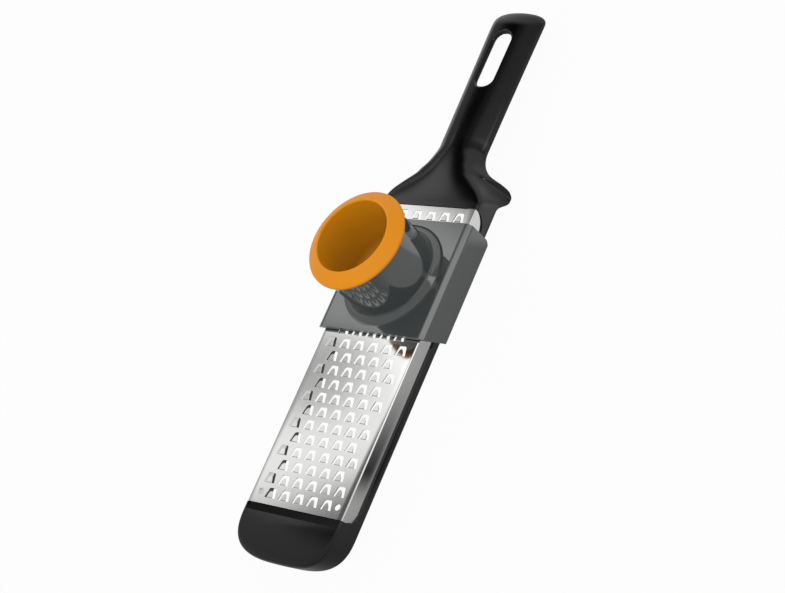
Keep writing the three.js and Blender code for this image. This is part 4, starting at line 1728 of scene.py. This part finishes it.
@dataclass(frozen=True)
class Studio:
    """Pale floor, soft lamps, a white surround with a dark rear, and the camera."""

    lens: float = 86.56
    sensor: float = 36.0
    middle: float = 85.0  # where the lamps and the shaped card look, along y
    camera_place: tuple[float, float, float] = (600.57, -188.09, 636.29)
    camera_azimuth: float = -27.034
    camera_elevation: float = 43.475
    camera_roll: float = -46.913
    surround: float = 0.5  # brightness of the surround in reflections
    ambient: float = 0.72  # brightness of the surround as light
    fill: float = 1.3  # what a bright wall on the right adds in reflections
    fill_turn: tuple[float, float] = (-2.0, 12.0)  # where it starts and is full, in degrees from above to the right
    fill_reach: tuple[float, float] = (0.18, 0.27)  # the same along the tool, as a share of the direction
    rear_reach: tuple[float, float] = (0.365, 0.398)  # where the darker rear of the surround starts and is full
    end_reach: tuple[float, float] = (0.52, 0.68)  # where the paler end past the handle starts and is full
    end_level: float = 0.75
    rear: tuple[tuple[float, float], ...] = (  # brightness of the rear by degrees from above to the right
        (-90.0, 0.22), (-66.0, 0.28), (-50.0, 0.1), (-40.0, 0.015), (-22.0, 0.015), (-5.0, 0.14), (9.0, 0.29),
        (25.0, 0.35),
    )
    floor_size: float = 6.0
    floor_white: float = 0.96  # share of the floor that is plain white to the camera
    floor_mirrored: float = 0.15  # the same in reflections
    floor_colour: str = "#c8c8c8"
    dark_reflection_patch: tuple[float, ...] = (39.0, 44.0, 60.0, 75.0, 14.0, 34.0, 28.0, 92.0)  # painted dark reflection, which only mirrors show, by the blade
    dark_reflection_depth: float = 0.93
    dim_reflection_front: tuple[float, float] = (-70.0, 40.0)  # painted reflection: the floor in mirrors is dimmer before the toe
    dim_reflection_depth: float = 0.5
    bright_reflection_patches: tuple[tuple[float, ...], ...] = (  # and painted white reflections there, under the blade and beside the shoulder
        (-30.0, -27.0, 27.0, 30.0, 2.0, 6.0, 164.0, 168.0), (38.0, 42.0, 70.0, 80.0, 158.0, 166.0, 192.0, 200.0),
    )
    lamps: tuple[Softbox, ...] = (
        Softbox("left_softbox", 158.0, 34.5, 1.4, 0.46, 0.60, 1.6),
        Softbox("top_softbox", -60.0, 62.0, 1.6, 1.6, 1.6, 0.9),
    )
    card: ShapedCard = field(default_factory=ShapedCard)
    near_cards: tuple[NearCard, ...] = (
        NearCard("left_near_card", (-238.0, 302.0, 150.0), (-15.0, 185.0, 0.0), 50.0, 0.55),
        NearCard("right_near_card", (275.0, 303.0, 100.0), (25.0, 187.0, -9.0), 62.0, 0.7),
    )

    def build(self, datum: Datum) -> None:
        """Sets up the floor, the lamps, the surround and the camera.

        Args:
            datum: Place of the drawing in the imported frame.
        """
        target = Vector(datum.place(np.array([0.0, self.middle, 0.0])))
        for lamp in self.lamps:
            lamp.build(target)
        self.card.build(target)
        for card in self.near_cards:
            card.build(datum)
        self.floor(datum)
        self.surrounds()
        self.camera(datum)
        bpy.context.scene.view_settings.view_transform = "Standard"

    def floor(self, datum: Datum) -> None:
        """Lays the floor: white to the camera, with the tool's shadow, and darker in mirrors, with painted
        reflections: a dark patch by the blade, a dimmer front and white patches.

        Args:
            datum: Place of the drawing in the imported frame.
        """
        material = blank_material("pale_floor")
        tree = material.node_tree
        seen, mirror = ray_kinds(tree)
        place = add_node(tree, "ShaderNodeTexCoord").outputs["Object"]
        across, along, _ = add_node(tree, "ShaderNodeSeparateXYZ", Vector=place).outputs

        def patch_steps(edges: tuple[float, ...]) -> list[tuple]:
            """Smooth steps that are 1 inside a patch, from its four places across and its four along."""
            x0, x1, x2, x3, *run = (edge * MM for edge in edges)
            y0, y1, y2, y3 = (datum.y + y for y in run)
            rising, falling = (0.0, 1.0), (1.0, 0.0)
            return [
                (across, x0, x1, *rising), (across, x2, x3, *falling),
                (along, y0, y1, *rising), (along, y2, y3, *falling),
            ]

        # Painted reflections: patches of the floor that only mirrors show, as dark, dimmer or white.
        dark_reflection = product_of_steps(tree, [(mirror, 0.0, 1.0, 0.0, self.dark_reflection_depth), *patch_steps(self.dark_reflection_patch)])
        front, near = (datum.y + y * MM for y in self.dim_reflection_front)
        dim = product_of_steps(tree, [(mirror, 0.0, 1.0, 0.0, self.dim_reflection_depth), (along, front, near, 1.0, 0.0)])
        lit: bpy.types.NodeSocket | float = 0.0
        for patch in self.bright_reflection_patches:
            lit = maths(tree, "ADD", lit, product_of_steps(tree, patch_steps(patch)))
        mirrored = add_node(tree, "ShaderNodeMapRange", Value=lit, To_Min=self.floor_mirrored, To_Max=1.0)
        pale = maths(tree, "MULTIPLY", mirror, mirrored.outputs["Result"])
        share = maths(tree, "MULTIPLY_ADD", seen, self.floor_white, pale)
        paint = add_node(tree, "ShaderNodeBsdfDiffuse", Color=linear(self.floor_colour))
        for amount, level in ((share, 1.0), (dim, 0.0), (dark_reflection, 0.0)):
            glow = add_node(tree, "ShaderNodeEmission", Color=WHITE, Strength=level)
            paint = add_node(tree, "ShaderNodeMixShader", Fac=amount, i1=paint.outputs[0], i2=glow.outputs[0])
        add_node(tree, "ShaderNodeOutputMaterial", Surface=paint.outputs[0])
        floor = square("floor", self.floor_size / 2, material)

    def surrounds(self) -> None:
        """Makes the surround white to the camera and even as light.

        In reflections it is pale in front, with a bright wall on the right, darker behind the shoulder, where its
        brightness goes by the turn from above to the right, atan2(x, z), and paler again past the handle's end.
        """
        world = bpy.data.worlds.new("studio")
        bpy.context.scene.world = world
        world.use_nodes = True
        tree = world.node_tree
        tree.nodes.clear()
        seen, mirror = ray_kinds(tree)
        place = add_node(tree, "ShaderNodeTexCoord").outputs["Generated"]
        across, along, up = add_node(tree, "ShaderNodeSeparateXYZ", Vector=place).outputs
        turn = maths(tree, "ARCTAN2", across, up)
        start, end = (math.radians(angle) for angle in self.fill_turn)
        fill = product_of_steps(tree, [(turn, start, end, 0.0, self.fill), (along, *self.fill_reach, 0.0, 1.0)])
        front = maths(tree, "ADD", fill, self.surround)
        spot = add_node(tree, "ShaderNodeMapRange", Value=turn, From_Min=-math.pi, From_Max=math.pi)
        ramp = add_node(tree, "ShaderNodeValToRGB", Fac=spot.outputs["Result"])
        ramp.color_ramp.interpolation = "EASE"
        stops = ramp.color_ramp.elements
        stops.remove(stops[0])
        for angle, level in self.rear:
            stop = stops.new((angle + 180.0) / 360.0)
            stop.color = (level, level, level, 1.0)
        stops.remove(stops[-1])
        past_end, behind = (
            product_of_steps(tree, [(along, *reach, 0.0, 1.0)]) for reach in (self.end_reach, self.rear_reach)
        )
        rear = mixed(tree, past_end, ramp.outputs["Color"], self.end_level)
        lit = mixed(tree, mirror, self.ambient, mixed(tree, behind, front, rear))
        glow = add_node(tree, "ShaderNodeBackground", Color=WHITE, Strength=mixed(tree, seen, lit, 1.0))
        add_node(tree, "ShaderNodeOutputWorld", Surface=glow.outputs[0])

    def camera(self, datum: Datum) -> None:
        """Places the camera from its drawing position, its direction and its roll.

        Args:
            datum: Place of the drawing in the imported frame.
        """
        data = bpy.data.cameras.new("camera")
        data.lens = self.lens
        data.sensor_width = self.sensor
        camera = bpy.data.objects.new("camera", data)
        bpy.context.scene.collection.objects.link(camera)
        level = upright(direction(self.camera_azimuth, self.camera_elevation))
        roll = Matrix.Rotation(math.radians(self.camera_roll), 4, "Z")
        place = datum.place(np.array(self.camera_place))
        camera.matrix_world = Matrix.Translation(place.tolist()) @ level @ roll
        bpy.context.scene.camera = camera


def main() -> None:
    """Builds every piece in order, then the studio, and reports them."""
    logging.basicConfig(level=logging.INFO, format="%(message)s")
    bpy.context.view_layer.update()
    blade = Blade()
    low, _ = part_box("blade")
    datum = Datum(low.y - FIT * MM, low.z + blade.flange_depth * MM)
    moulding = Frame(blade)
    holder = Holder(moulding)
    shell = finish_piece("moulded_frame", moulding.build(datum), Body.GRATER, "frame", BLACK_NYLON)
    moulding.crispen(shell.data, datum)
    finish_piece("slit_blade", blade.build(datum), Body.GRATER, "blade", SATIN_STEEL)
    finish_piece("soft_foot", Foot(moulding).build(datum), Body.GRATER, "toe_foot", SOFT_RUBBER)
    finish_piece("sliding_holder", holder.build(datum), Body.HOLDER, "food_holder", GREY_ABS)
    finish_piece(
        "cup_pusher", Pusher(holder).build(datum), Body.PLUNGER, "pusher", ORANGE_POLYPROPYLENE
    )
    Studio().build(datum)


if __name__ == "__main__":
    main()
